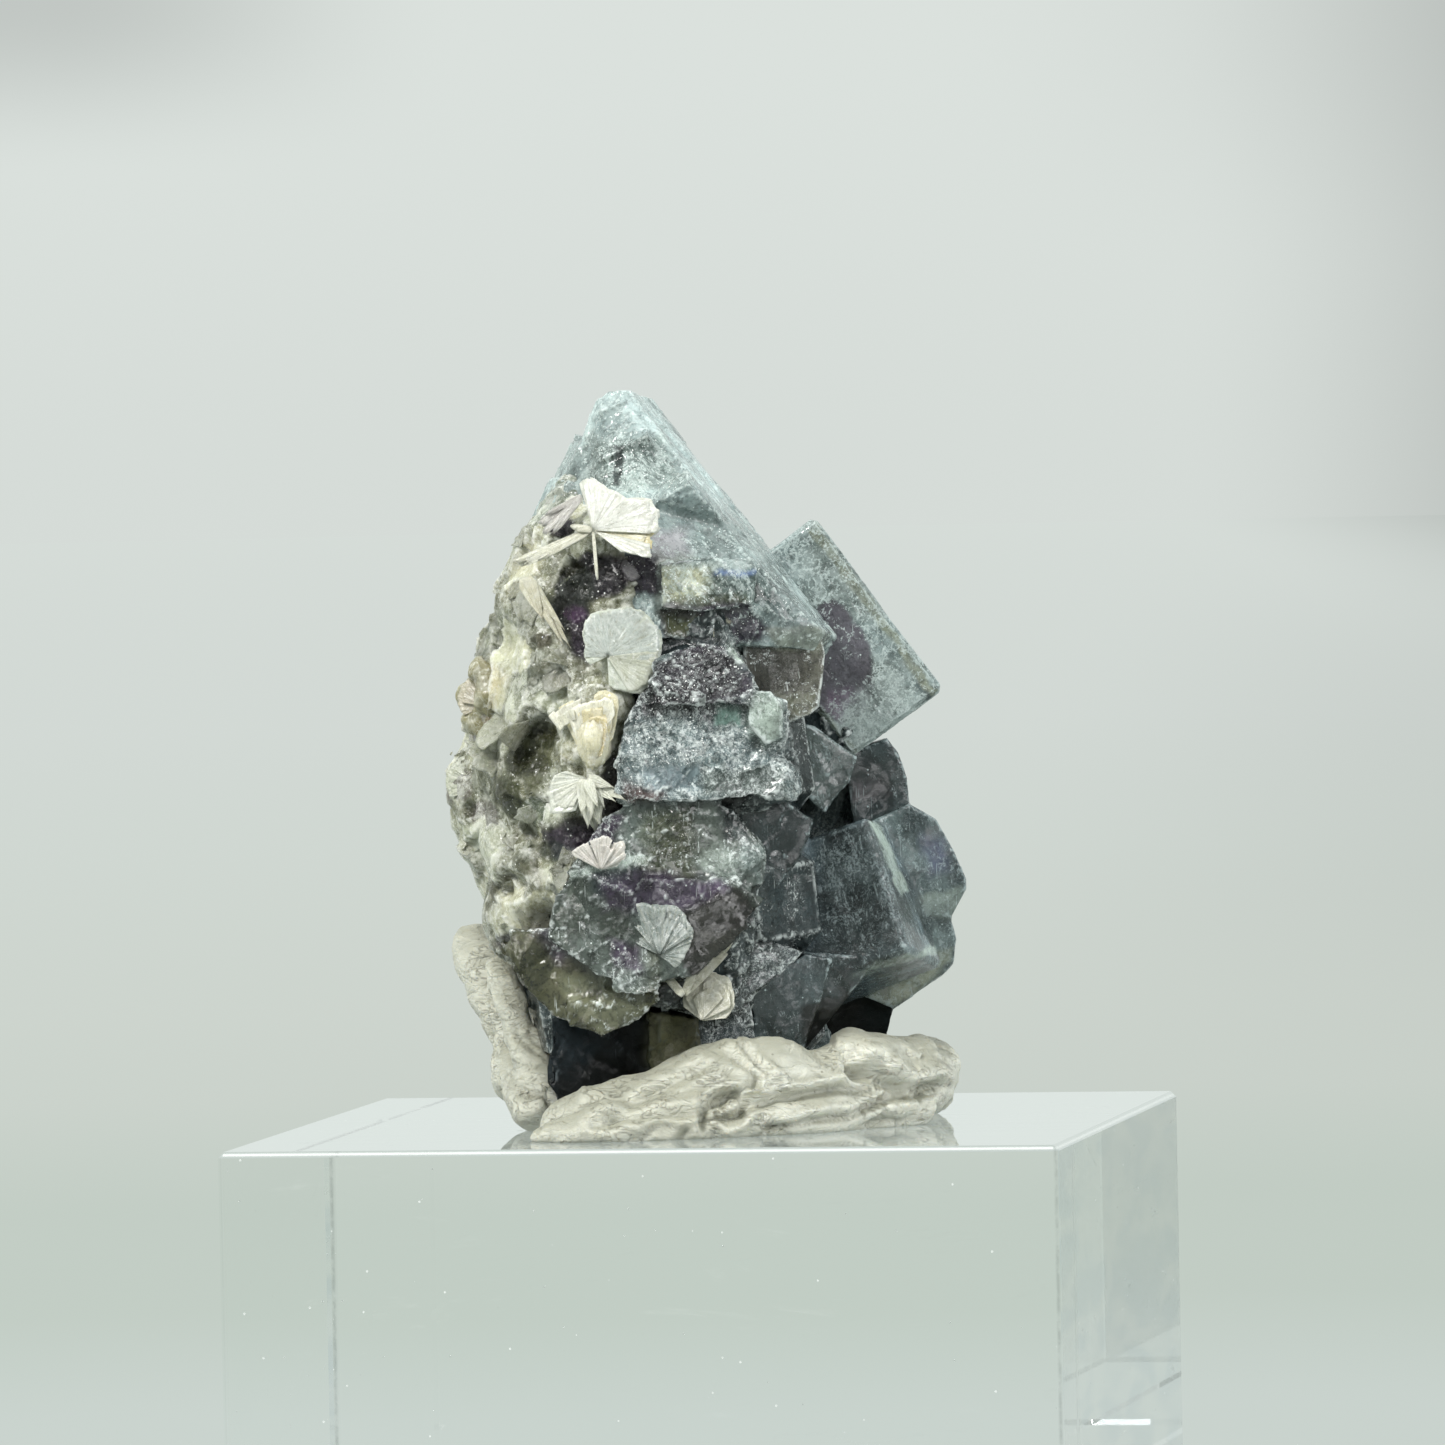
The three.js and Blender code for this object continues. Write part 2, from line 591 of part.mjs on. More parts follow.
function puttySolid() {
  const stretches = [];
  for (const roll of PUTTY_ROLLS) {
    for (let i = 1; i < roll.length; i += 1) {
      stretches.push(hullOf([...puttyBall(roll[i - 1]), ...puttyBall(roll[i])]));
    }
  }
  return join(stretches);
}

// A slab that trims whatever would reach below the given height
function groundSlab(top) {
  const slab = new THREE.BoxGeometry(80, 80, 20);
  slab.translate(0, 0, top - 10);
  return toSolid(slab);
}

// Assembly

const materials = {
  acrylic: new THREE.MeshStandardMaterial({
    color: 0xdfe7e3, roughness: 0.05, metalness: 0, transparent: true, opacity: 0.35,
  }),
  fluorite: new THREE.MeshStandardMaterial({ color: 0x5c6b6a, roughness: 0.35, metalness: 0 }),
  crust: new THREE.MeshStandardMaterial({ color: 0xa9ab98, roughness: 0.4, metalness: 0 }),
  rosette: new THREE.MeshStandardMaterial({ color: 0xdad7c2, roughness: 0.3, metalness: 0.05 }),
  putty: new THREE.MeshStandardMaterial({ color: 0xd6d3c6, roughness: 0.75, metalness: 0 }),
};

const specimen = new THREE.Group();
specimen.position.set(0, 0, BLOCK_HEIGHT);
specimen.rotation.z = deg(SPECIMEN_TURN);

function addPiece(parent, name, geometry, material) {
  const mesh = new THREE.Mesh(geometry, material);
  mesh.name = name;
  parent.add(mesh);
}

const slab = groundSlab(PIECE_GAP);
const fluorite = join(FLUORITE.map((crystal) => crystalSolid(crystal))).subtract(groundSlab(1.2));
const fluoriteRoom = join(FLUORITE.map((crystal) => crystalSolid(crystal, PIECE_GAP)));
addPiece(specimen, 'fluorite_cluster', toGeometry(largestBody(fluorite)), materials.fluorite);

const crustWhole = join(CRUST_LUMPS.map((lump, i) => hullOf(lumpPoints(lump, 101 + i))));
const crustRoom = join(CRUST_LUMPS.map((lump, i) => hullOf(lumpPoints(lump, 101 + i, PIECE_GAP))));
const crust = largestBody(crustWhole.subtract(fluoriteRoom));
addPiece(specimen, 'mica_crust', toGeometry(crust), materials.crust);

// each rosette is cut back from the crystals, the crust and the rosettes before it
let taken = fluoriteRoom.add(crustRoom);
for (const rosette of ROSETTES) {
  const fan = largestBody(rosetteSolid(rosette).subtract(taken));
  addPiece(specimen, rosette.name, toGeometry(fan), materials.rosette);
  taken = taken.add(rosetteSolid(rosette, PIECE_GAP));
}

const putty = largestBody(puttySolid().subtract(taken).subtract(slab));
addPiece(specimen, 'mounting_putty', toGeometry(putty), materials.putty);

const part = new THREE.Group();
const blockSize = [BLOCK_SIDE, BLOCK_SIDE, BLOCK_HEIGHT];
const blockGeometry = new ConvexGeometry(bevelledCorners(blockSize, BLOCK_CHAMFER));
blockGeometry.translate(0, 0, BLOCK_HEIGHT / 2);
addPiece(part, 'acrylic_block', blockGeometry, materials.acrylic);
part.add(specimen);

export default part;
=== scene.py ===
"""Phantom fluorite specimen: the looks of its crystals, mica, putty and clear block."""

import math

import bmesh
import bpy
import numpy as np
from mathutils import Matrix, Vector


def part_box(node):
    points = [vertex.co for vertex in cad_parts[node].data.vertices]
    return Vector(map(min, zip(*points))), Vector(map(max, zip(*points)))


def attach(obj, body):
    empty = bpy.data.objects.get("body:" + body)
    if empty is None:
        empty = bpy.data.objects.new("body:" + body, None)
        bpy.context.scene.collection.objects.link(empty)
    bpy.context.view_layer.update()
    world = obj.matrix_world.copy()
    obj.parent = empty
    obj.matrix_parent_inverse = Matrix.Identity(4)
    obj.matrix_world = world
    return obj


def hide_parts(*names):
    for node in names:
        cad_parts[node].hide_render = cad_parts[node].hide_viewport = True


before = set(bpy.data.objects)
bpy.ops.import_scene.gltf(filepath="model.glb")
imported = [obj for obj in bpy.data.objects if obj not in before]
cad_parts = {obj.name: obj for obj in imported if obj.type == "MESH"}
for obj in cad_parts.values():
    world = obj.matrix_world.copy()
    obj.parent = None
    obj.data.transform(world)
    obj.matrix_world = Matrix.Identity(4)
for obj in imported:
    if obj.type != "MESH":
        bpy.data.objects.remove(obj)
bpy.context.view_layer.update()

# The specimen's own frame, in millimetres: x to its right, y towards its back, z up from the block's top
MM = 0.001
SPECIMEN_TURN = math.radians(10)
BLOCK_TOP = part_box("acrylic_block")[1][2] / MM

# Mesh fineness: the longest edge on shown crystal faces, and on faces buried in a neighbour
FINE_EDGE = 0.26
BURIED_EDGE = 2.0
CRYSTAL_BEVEL = 0.22
OUTLINE_BEVEL = 0.08


# Numbers


def hashed(cells, seed):
    """A repeatable number between -1 and 1 for each whole-numbered cell."""
    x, y, z = (cells[:, axis].astype(np.uint64) for axis in range(3))
    mixed = x * np.uint64(374761393) + y * np.uint64(668265263) + z * np.uint64(2246822519)
    mixed = mixed + np.uint64(seed * 1274126177 + 7)
    mixed = ((mixed & np.uint64(0xFFFFFFFF)) ^ ((mixed >> np.uint64(13)) & np.uint64(0x7FFFF))) * np.uint64(1274126177)
    mixed = (mixed >> np.uint64(9)) & np.uint64(0xFFFF)
    return mixed.astype(float) / 32767.5 - 1


def noise(points, size, seed=0):
    """Smooth noise between -1 and 1, whose blobs are about size across."""
    scaled = points / size + 1000.0
    cell = np.floor(scaled).astype(np.int64)
    part = scaled - cell
    blend = part * part * (3 - 2 * part)
    total = np.zeros(len(points))
    for corner in np.ndindex(2, 2, 2):
        weight = np.prod(np.where(corner, blend, 1 - blend), axis=1)
        total += weight * hashed(cell + corner, seed)
    return total


def rough_noise(points, size, seed=0, octaves=3):
    total = np.zeros(len(points))
    for octave in range(octaves):
        total += noise(points, size / 2**octave, seed + octave) / 2**octave
    return total / 1.6


def smooth_step(values, low, high):
    t = np.clip((values - low) / (high - low), 0, 1)
    return t * t * (3 - 2 * t)


def unit(vectors):
    return vectors / np.maximum(np.linalg.norm(vectors, axis=-1, keepdims=True), 1e-12)


def to_row(points):
    """Specimen millimetres to the row's metres."""
    c, s = math.cos(SPECIMEN_TURN), math.sin(SPECIMEN_TURN)
    x, y, z = np.asarray(points, float).T
    return np.stack([x * c - y * s, x * s + y * c, z + BLOCK_TOP], axis=1) * MM


def turned(spin, tip, yaw):
    """spin turns clockwise seen from the front, tip leans the top forwards, yaw turns about the vertical."""
    spin, tip, yaw = (math.radians(a) for a in (spin, tip, yaw))
    turn = Matrix.Rotation(yaw, 3, "Z") @ Matrix.Rotation(tip, 3, "X") @ Matrix.Rotation(spin, 3, "Y")
    return np.array(turn)


# Crystals

BOX_CORNERS = np.array([[x, y, z] for x in (-1, 1) for y in (-1, 1) for z in (-1, 1)], float)


def block(at, size, spin=0, tip=0, yaw=0, bevel=CRYSTAL_BEVEL):
    """A block's corners, each cut into three points by its bevels, and its axes."""
    half = np.array(size) / 2
    insets = [half - bevel + bevel * np.eye(3)[face] for face in range(3)]
    points = np.concatenate([BOX_CORNERS * inset for inset in insets])
    axes = turned(spin, tip, yaw)
    return {"points": points @ axes.T + at, "axes": axes.T}


def outlined(outline, front, slope=(0, 0), depth=6, taper=0.9):
    """A crystal drawn by its [x, z] outline, with its front at y = front."""
    outline = np.array(outline, float)
    middle = outline.mean(axis=0)

    def ring(scale, back):
        flat = (outline - middle) * scale
        y = front + back + flat @ slope
        return np.stack([middle[0] + flat[:, 0], y, middle[1] + flat[:, 1]], axis=1)

    points = [ring(1 - OUTLINE_BEVEL / 2.5, 0), ring(1, OUTLINE_BEVEL), ring(taper, depth)]
    sides = np.roll(outline, -1, axis=0) - outline
    longest = unit(sides[np.argmax(np.linalg.norm(sides, axis=1))])
    axes = np.array([[longest[0], 0, longest[1]], [0, 1, 0], [-longest[1], 0, longest[0]]])
    return {"points": np.concatenate(points), "axes": axes}


def wedge(points, spin):
    return {"points": np.array(points, float), "axes": turned(spin, 0, 0).T}


def hull(points):
    """The convex hull's vertices, triangles and face planes (outward normal and offset)."""
    work = bmesh.new()
    for point in points:
        work.verts.new(point)
    made = bmesh.ops.convex_hull(work, input=work.verts)
    loose = {g for g in made["geom_interior"] + made["geom_unused"] if isinstance(g, bmesh.types.BMVert)}
    bmesh.ops.delete(work, geom=list(loose), context="VERTS")
    bmesh.ops.triangulate(work, faces=work.faces)
    bmesh.ops.recalc_face_normals(work, faces=work.faces)
    work.verts.index_update()
    vertices = np.array([v.co for v in work.verts])
    triangles = np.array([[v.index for v in f.verts] for f in work.faces])
    normals = np.array([f.normal for f in work.faces])
    offsets = np.einsum("ij,ij->i", normals, vertices[triangles[:, 0]])
    work.free()
    kept = []
    for i in range(len(normals)):
        if all(normals[i] @ normals[k] < 0.9995 for k in kept):
            kept.append(i)
    return vertices, triangles, normals[kept], offsets[kept]


def refine(vertices, triangles, limit):
    """Halves each edge that is longer than limit(middle) until none is left."""
    for _ in range(14):
        pairs = np.sort(triangles[:, [[0, 1], [1, 2], [2, 0]]], axis=2).reshape(-1, 2)
        keys, first, inverse = np.unique(
            pairs[:, 0] * len(vertices) + pairs[:, 1], return_index=True, return_inverse=True
        )
        ends = vertices[pairs[first]]
        middle = ends.mean(axis=1)
        split = np.linalg.norm(ends[:, 0] - ends[:, 1], axis=1) > limit(middle)
        if not split.any():
            break
        number = np.full(len(keys), -1)
        number[split] = len(vertices) + np.arange(split.sum())
        vertices = np.concatenate([vertices, middle[split]])
        halves = number[inverse].reshape(-1, 3)
        count = (halves >= 0).sum(axis=1)
        pieces = [triangles[count == 0]]
        (a, b, c), (ab, bc, ca) = triangles[count == 3].T, halves[count == 3].T
        pieces += [np.stack(t, axis=1) for t in ((a, ab, ca), (ab, b, bc), (ca, bc, c), (ab, bc, ca))]
        for k in range(3):
            order = [k, (k + 1) % 3, (k + 2) % 3]
            one = (count == 1) & (halves[:, k] >= 0)
            (a, b, c), ab = triangles[one][:, order].T, halves[one, k]
            pieces += [np.stack(t, axis=1) for t in ((a, ab, c), (ab, b, c))]
            two = (count == 2) & (halves[:, order[2]] < 0)
            (a, b, c), ab, bc = triangles[two][:, order].T, halves[two, k], halves[two, order[1]]
            pieces += [np.stack(t, axis=1) for t in ((ab, b, bc), (a, ab, bc), (a, bc, c))]
        triangles = np.concatenate(pieces)
    return vertices, triangles


def inside(points, solids, margin=0.0):
    """Whether each point lies deeper than margin in any of the solids."""
    buried = np.zeros(len(points), bool)
    for solid in solids:
        reach = np.linalg.norm(solid["points"] - solid["points"].mean(axis=0), axis=1).max()
        near = np.linalg.norm(points - solid["points"].mean(axis=0), axis=1) < reach
        if near.any():
            slack = solid["offsets"] - points[near] @ solid["normals"].T
            buried[near] |= slack.min(axis=1) > margin
    return buried


def terraces(points, normal, axes, relief, random):
    """How far each point of a face steps in: rectangles that follow the crystal's axes, like growth steps."""
    across = axes[np.argmin(np.abs(axes @ normal))]
    across = unit(across - normal * (across @ normal))
    along = np.cross(normal, across)
    flat = np.stack([points @ across, points @ along], axis=1)
    wander = np.stack([noise(points, 1.3, 5), noise(points, 1.3, 6)], axis=1) * relief["wander"]
    flat = flat + wander
    low, high = flat.min(axis=0), flat.max(axis=0)
    count = int(min(70, 3 + relief["density"] * np.prod(high - low)))
    depth = np.full(len(points), relief["depth"] * 0.5)
    for _ in range(count):
        centre = random.uniform(low, high)
        half = relief["size"] * random.uniform(0.3, 1.0, 2) ** 1.5 * np.array([1.5, 0.8])
        step = relief["depth"] * random.uniform(-0.4, 0.4)
        depth += step * (np.abs(flat - centre) < half).all(axis=1)
    return np.clip(depth, 0, relief["depth"])


def rock_cells(points, size, seed, blocky=False):
    """A mass broken into small planes: for each point a height from 0 to 1, and its plane's shade from -1 to 1."""
    cell = np.floor(points / size).astype(np.int64)
    best = np.full(len(points), np.inf)
    height = np.zeros(len(points))
    shade = np.zeros(len(points))
    for offset in np.ndindex(3, 3, 3):
        home = cell + np.array(offset) - 1
        jitter = np.stack([hashed(home + 1000, seed + k) for k in range(3)], axis=1)
        away = points - (home + 0.5 + 0.42 * jitter) * size
        distance = np.abs(away).max(axis=1) if blocky else np.linalg.norm(away, axis=1)
        nearer = distance < best
        key = home[nearer] + 1000
        lean = np.stack([hashed(key, seed + 3 + k) for k in range(3)], axis=1)
        best[nearer] = distance[nearer]
        height[nearer] = 0.5 + 0.4 * hashed(key, seed + 6) + 0.8 * (away[nearer] * lean).sum(axis=1) / size
        shade[nearer] = hashed(key, seed + 7)
    return np.clip(height, 0, 1), shade


PLAIN_RELIEF = {"depth": 0.07, "size": 1.6, "density": 0.9, "wander": 0.12, "pits": 0.03, "warp": 0.05}
CALM_RELIEF = {"depth": 0.03, "size": 2.4, "density": 0.5, "wander": 0.05, "pits": 0.01, "warp": 0.04}


def grow(crystal, others, relief, seed, edge=None):
    """The crystal's fine mesh: its faces carved with growth steps and pits. Adds the masks that its material reads."""
    random = np.random.RandomState(seed)
    fine = edge or FINE_EDGE
    vertices, triangles = crystal["vertices"], crystal["triangles"]
    normals, offsets = crystal["normals"], crystal["offsets"]

    def limit(middle):
        return np.where(inside(middle, others, 0.5), BURIED_EDGE, fine)

    vertices, triangles = refine(vertices, triangles, limit)
    centre = crystal["points"].mean(axis=0)
    rays = vertices - centre
    slack = offsets - vertices @ normals.T
    lengths = np.full((len(vertices), len(normals)), np.inf)
    carved = np.zeros((len(vertices), len(normals)))
    for k, normal in enumerate(normals):
        near = slack[:, k] < 0.8
        on_face = slack[:, k] < 0.02
        if on_face.sum() > 24 and not inside(vertices[on_face], others, 0.4).all():
            steps = terraces(vertices[near], normal, crystal["axes"], relief, random)
            pits = smooth_step(noise(vertices[near], 0.45, seed + k), 0.15, 0.7) * relief["pits"]
            carved[near, k] = steps + pits
        toward = rays @ normal
        shown = toward > 1e-6
        lengths[shown, k] = (offsets[k] - normal @ centre - carved[shown, k]) / toward[shown]
    vertices = centre + rays * lengths.min(axis=1)[:, None]
    slack = offsets - carved - vertices @ normals.T
    own = slack.argmin(axis=1)
    between = np.sqrt(np.clip(1 - (normals @ normals.T) ** 2, 1e-6, 1))
    between[(normals @ normals.T) > 0.93] = 1e-4
    away = np.partition(slack / between[own], 1, axis=1)[:, 1]
    for axis in range(3):
        vertices[:, axis] += relief["warp"] * rough_noise(vertices + 40 * axis, 1.9, seed + 50, 2)
    edge = 1 - smooth_step(away, 0.0, 0.13)
    return {"vertices": vertices, "triangles": triangles, "edge": edge, "cavity_shade": np.zeros(len(vertices))}


# Main crystals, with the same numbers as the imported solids

SUMMIT = wedge(
    [
        [-5.9, -2.6, 43.6], [-5.8, 1.4, 43.4], [-5.1, -2.8, 44.2], [-3.8, -3.2, 44.2], [-4.4, 1.8, 44.1],
        [-2.5, 2.5, 43.6], [-6.3, 0.2, 42.2], [7.4, -9.0, 29.6], [8.2, -5.0, 29.2], [8.6, 2.5, 28.9],
        [6.9, -8.6, 28.4], [3.4, -9.6, 33.5], [-2.6, -12.4, 33.5], [-6.0, -10.8, 33.0], [-8.6, -3.6, 36.4],
        [-8.9, 1.0, 35.6], [-9.4, -6.0, 31.0], [-3.0, -12.4, 29.5], [3.0, -10.2, 29.0], [-6.5, 7.0, 32.0],
        [5.8, 7.5, 29.0], [0.5, 8.0, 37.5], [-8.0, 5.0, 27.0], [6.0, 6.0, 25.0],
    ],
    spin=-37,
)

CRYSTALS = {
    "summit": (SUMMIT, PLAIN_RELIEF),
    "summit_terrace_1": (block([-4.4, -3.2, 42.2], [2.0, 1.4, 2.6], -22, 6, 4, 0.1), PLAIN_RELIEF),
    "summit_terrace_2": (block([-3.4, -5.0, 39.6], [3.4, 1.4, 3.8], -30, 24, 4, 0.1), PLAIN_RELIEF),
    "summit_terrace_3": (block([-1.3, -7.9, 36.7], [4.6, 1.6, 3.8], -36, 34, 4, 0.1), PLAIN_RELIEF),
    "summit_ledge": (
        outlined(
            [[-2.4, 34.0], [0.2, 34.3], [3.3, 34.1], [3.7, 33.3], [3.2, 31.3], [0.1, 30.9], [-2.3, 31.2]],
            -12.4, (0.28, 0.0), 5,
        ),
        PLAIN_RELIEF,
    ),
    "summit_chip": (block([-6.4, -0.8, 40.1], [2.0, 2.2, 2.4], 16, 10, 24, 0.1), PLAIN_RELIEF),
    "summit_shoulder": (block([-6.9, -1.8, 39.3], [2.2, 3.0, 3.2], 24, 8, 12, 0.2), PLAIN_RELIEF),
    "summit_low_shoulder": (block([-7.9, -3.0, 37.0], [2.6, 3.4, 3.4], 26, 4, 20, 0.2), PLAIN_RELIEF),
    "right_block": (block([8.0, 2.2, 28.85], [6.95, 8.2, 13.0], -35.5, -3, 1, 0.3), PLAIN_RELIEF),
    "smoky_corner": (
        outlined(
            [[2.6, 29.2], [7.3, 29.3], [7.5, 28.3], [7.1, 25.1], [6.6, 24.7], [5.0, 24.1], [2.6, 24.4]],
            -9.0, (0.12, 0.1), 8,
        ),
        CALM_RELIEF,
    ),
    "small_dark_cube": (
        outlined(
            [[5.0, 23.4], [6.2, 24.0], [6.8, 23.8], [9.4, 21.9], [8.9, 20.4], [7.3, 18.6], [5.0, 20.8]],
            -4.6, (0.2, 0.1), 6,
        ),
        PLAIN_RELIEF,
    ),
    "cube_behind": (
        outlined([[8.6, 22.0], [11.2, 22.9], [11.9, 22.0], [12.4, 20.3], [12.6, 18.6], [9.0, 17.6]], -0.6, (0.2, 0), 7),
        CALM_RELIEF,
    ),
    "great_cube": (block([7.4, -2.6, 12.0], [10.4, 6.4, 8.8], -21, -12, -20, 0.3), PLAIN_RELIEF),
    "upper_right_cube": (
        outlined(
            [
                [9.6, 17.8], [12.4, 19.0], [14.1, 18.0], [14.9, 16.5], [15.8, 14.4], [15.8, 13.6], [14.9, 11.9],
                [11.2, 12.8],
            ],
            -1.6, (0.35, 0), 7,
        ),
        PLAIN_RELIEF,
    ),
    "lower_right_cube": (
        outlined(
            [[11.2, 12.6], [14.7, 12.6], [15.2, 10.7], [15.0, 9.2], [14.4, 8.5], [11.3, 6.5], [9.0, 7.6]],
            -0.8, (0.3, -0.3), 6,
        ),
        PLAIN_RELIEF,
    ),
    "foot_cube_right": (
        outlined([[8.0, 9.4], [11.9, 8.6], [11.3, 6.4], [10.8, 4.6], [8.6, 3.4], [6.6, 4.4]], 0.4, (0.1, -0.4), 6),
        PLAIN_RELIEF,
    ),
    "frosted_block": (
        outlined(
            [
                [-4.8, 24.1], [-3.6, 26.4], [-2.6, 26.8], [2.4, 26.5], [5.2, 25.7], [5.0, 20.1], [-0.1, 19.8],
                [-2.8, 19.8], [-5.3, 20.4],
            ],
            -14.0, (0.16, 0.1), 9,
        ),
        PLAIN_RELIEF,
    ),
    "broken_crown": (
        outlined([[-2.8, 28.4], [0.1, 29.3], [2.1, 29.1], [3.4, 27.3], [3.0, 25.4], [-2.9, 25.6]], -13.6, (0.12, 0.45), 7),
        PLAIN_RELIEF,
    ),
    "pale_tongue": (
        outlined(
            [[2.8, 25.7], [3.4, 26.4], [4.2, 26.3], [4.9, 25.4], [4.9, 23.5], [3.8, 23.0], [2.8, 24.3]],
            -13.9, (0.1, 0.1), 3,
        ),
        CALM_RELIEF,
    ),
    "slanted_crystal": (
        outlined(
            [[2.2, 19.6], [4.8, 19.7], [6.7, 18.3], [6.4, 17.4], [5.7, 15.9], [3.7, 13.6], [2.2, 12.4]],
            -9.2, (0.45, 0), 7,
        ),
        PLAIN_RELIEF,
    ),
    "pale_crystal_upper": (
        outlined(
            [
                [-7.2, 17.2], [-6.0, 19.0], [-3.7, 20.0], [-0.1, 20.2], [1.9, 19.3], [2.6, 18.3], [3.7, 16.9],
                [3.6, 14.8], [-0.2, 12.6], [-5.8, 13.2], [-7.6, 14.6],
            ],
            -14.0, (0.22, 0.1), 9,
        ),
        PLAIN_RELIEF,
    ),
    "pale_crystal_lower": (
        outlined(
            [
                [-8.8, 14.6], [-4.6, 15.4], [1.9, 15.4], [3.5, 13.7], [1.9, 11.7], [-0.5, 9.5], [-3.8, 8.8],
                [-6.6, 9.8], [-9.4, 12.0],
            ],
            -14.9, (0.14, 0.06), 9,
        ),
        PLAIN_RELIEF,
    ),
    "olive_shield": (
        outlined(
            [
                [-11.6, 9.9], [-9.2, 7.1], [-6.2, 5.9], [-4.0, 7.0], [-2.7, 8.1], [-2.9, 11.4], [-8.0, 12.6],
                [-11.6, 12.4],
            ],
            -13.9, (-0.3, 0.02), 7,
        ),
        PLAIN_RELIEF,
    ),
    "foot_crystal_1": (
        outlined(
            [[1.3, 11.3], [3.8, 11.4], [6.0, 10.6], [4.8, 9.5], [3.3, 8.4], [1.9, 7.6], [1.2, 8.9]],
            -10.9, (0.3, 0.1), 6,
        ),
        PLAIN_RELIEF,
    ),
    "foot_crystal_2": (
        outlined([[2.7, 8.6], [6.0, 10.5], [7.6, 10.1], [6.9, 7.8], [5.8, 4.6], [2.7, 4.6]], -9.4, (0.25, -0.1), 7),
        PLAIN_RELIEF,
    ),
    "foot_crystal_3": (
        outlined([[5.8, 10.6], [9.9, 10.0], [9.4, 8.8], [6.9, 8.0], [5.8, 4.4], [3.8, 4.6]], -7.4, (0.3, -0.2), 7),
        PLAIN_RELIEF,
    ),
    "foot_crystal_4": (
        outlined([[-0.8, 8.0], [2.8, 8.2], [3.0, 4.4], [-0.6, 2.6]], -10.4, (0.1, -0.1), 7),
        PLAIN_RELIEF,
    ),
    "foot_crystal_5": (
        outlined(
            [[-9.4, 7.0], [-6.4, 7.4], [-3.2, 7.0], [-2.8, 3.4], [-4.1, 1.3], [-6.5, 0.9], [-8.8, 1.7], [-9.5, 2.9]],
            -9.2, (-0.1, 0), 9,
        ),
        PLAIN_RELIEF,
    ),
    "olive_lump": (
        outlined(
            [[-3.6, 7.2], [-0.4, 7.0], [-0.3, 5.1], [-1.0, 3.8], [-2.9, 2.7], [-3.6, 4.3]],
            -11.4, (0.05, 0), 5, 1,
        ),
        PLAIN_RELIEF,
    ),
}

# The body behind the crystals, and the larger cubes that finish the back

CORE = [
    block([-1.8, 0.0, 31.0], [12.0, 14.0, 11.0], -28, 0, 0, 3.2),
    block([-2.4, -1.4, 21.6], [17.0, 17.0, 13.0], -8, 0, 6, 3.8),
    block([-1.8, -1.6, 12.8], [18.0, 17.0, 11.0], -6, 0, -4, 3.4),
    block([0.0, -0.6, 6.6], [14.0, 12.0, 8.0], -4, 0, 0, 2.2),
    block([-7.0, -3.4, 8.6], [7.6, 9.0, 8.6], -10, 0, 10, 1.0),
    block([7.4, 0.8, 23.2], [4.2, 5.6, 4.6], -30, 0, -10, 0.4),
    block([0.6, -8.0, 21.6], [10.0, 7.0, 6.0], -12, 0, 4, 0.6),
    block([-1.0, -9.0, 27.6], [7.6, 5.0, 8.0], -20, 0, 0, 0.6),
    block([-1.2, -9.0, 12.0], [8.6, 7.0, 9.6], 8, 0, -4, 0.6),
]

BACK_CRYSTALS = [
    block([-2.8, 5.4, 33.2], [6.6, 6.0, 7.4], -34, 10, 16),
    block([2.6, 6.0, 29.6], [6.4, 6.4, 7.0], -40, 12, -22),
    block([-6.0, 5.6, 24.6], [7.4, 6.6, 7.0], 24, -6, 30),
    block([1.6, 7.0, 21.6], [8.6, 6.2, 8.2], -18, 6, -8),
    block([7.6, 5.0, 19.0], [5.8, 6.0, 6.0], 12, -6, -34),
    block([-6.8, 5.0, 14.4], [7.2, 7.0, 7.4], -34, -10, 22),
    block([0.4, 7.2, 11.8], [8.0, 6.0, 7.6], 30, -8, 12),
    block([6.6, 5.6, 9.4], [6.8, 6.2, 6.4], -26, -12, -18),
    block([-3.4, 4.6, 5.8], [7.6, 6.0, 5.8], 14, -16, 18),
]

SMALL_CUBE_COUNT = 22


def small_cubes():
    """Small cubes, turned every way, over the back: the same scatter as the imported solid's."""
    state = 29
    drawn = []
    for _ in range(6 * SMALL_CUBE_COUNT):
        state = state * 16807 % 2147483647
        drawn.append(state / 2147483647)
    cubes = []
    for i in range(SMALL_CUBE_COUNT):
        side_draw, width, height, spin, tip, yaw = drawn[6 * i : 6 * i + 6]
        level = (i + 0.5) / SMALL_CUBE_COUNT
        bearing = math.pi * (0.06 + 0.86 * ((i * 0.381966) % 1))
        reach = 4.6 + 4.6 * math.sin(math.pi * (0.16 + 0.78 * level)) ** 0.8
        side = 2.0 + 2.2 * side_draw**1.6
        at = [reach * math.cos(bearing) - 0.6 - 3.2 * level**2, reach * math.sin(bearing), 4.4 + 30.6 * level]
        size = [side, side * (0.8 + 0.4 * width), side * (0.8 + 0.4 * height)]
        cubes.append(block(at, size, 90 * spin - 45, 60 * tip - 30, 90 * yaw - 45, 0.08))
    return cubes


# Chips: small broken crystals on the shown faces of the crystals in front, by how many lie on a square millimetre

CHIP_DENSITY = 0.25
CALM_CRYSTALS = ("pale_tongue", "summit", "foot_c", "great", "upper", "lower", "small_dark", "cube_behind", "slanted")


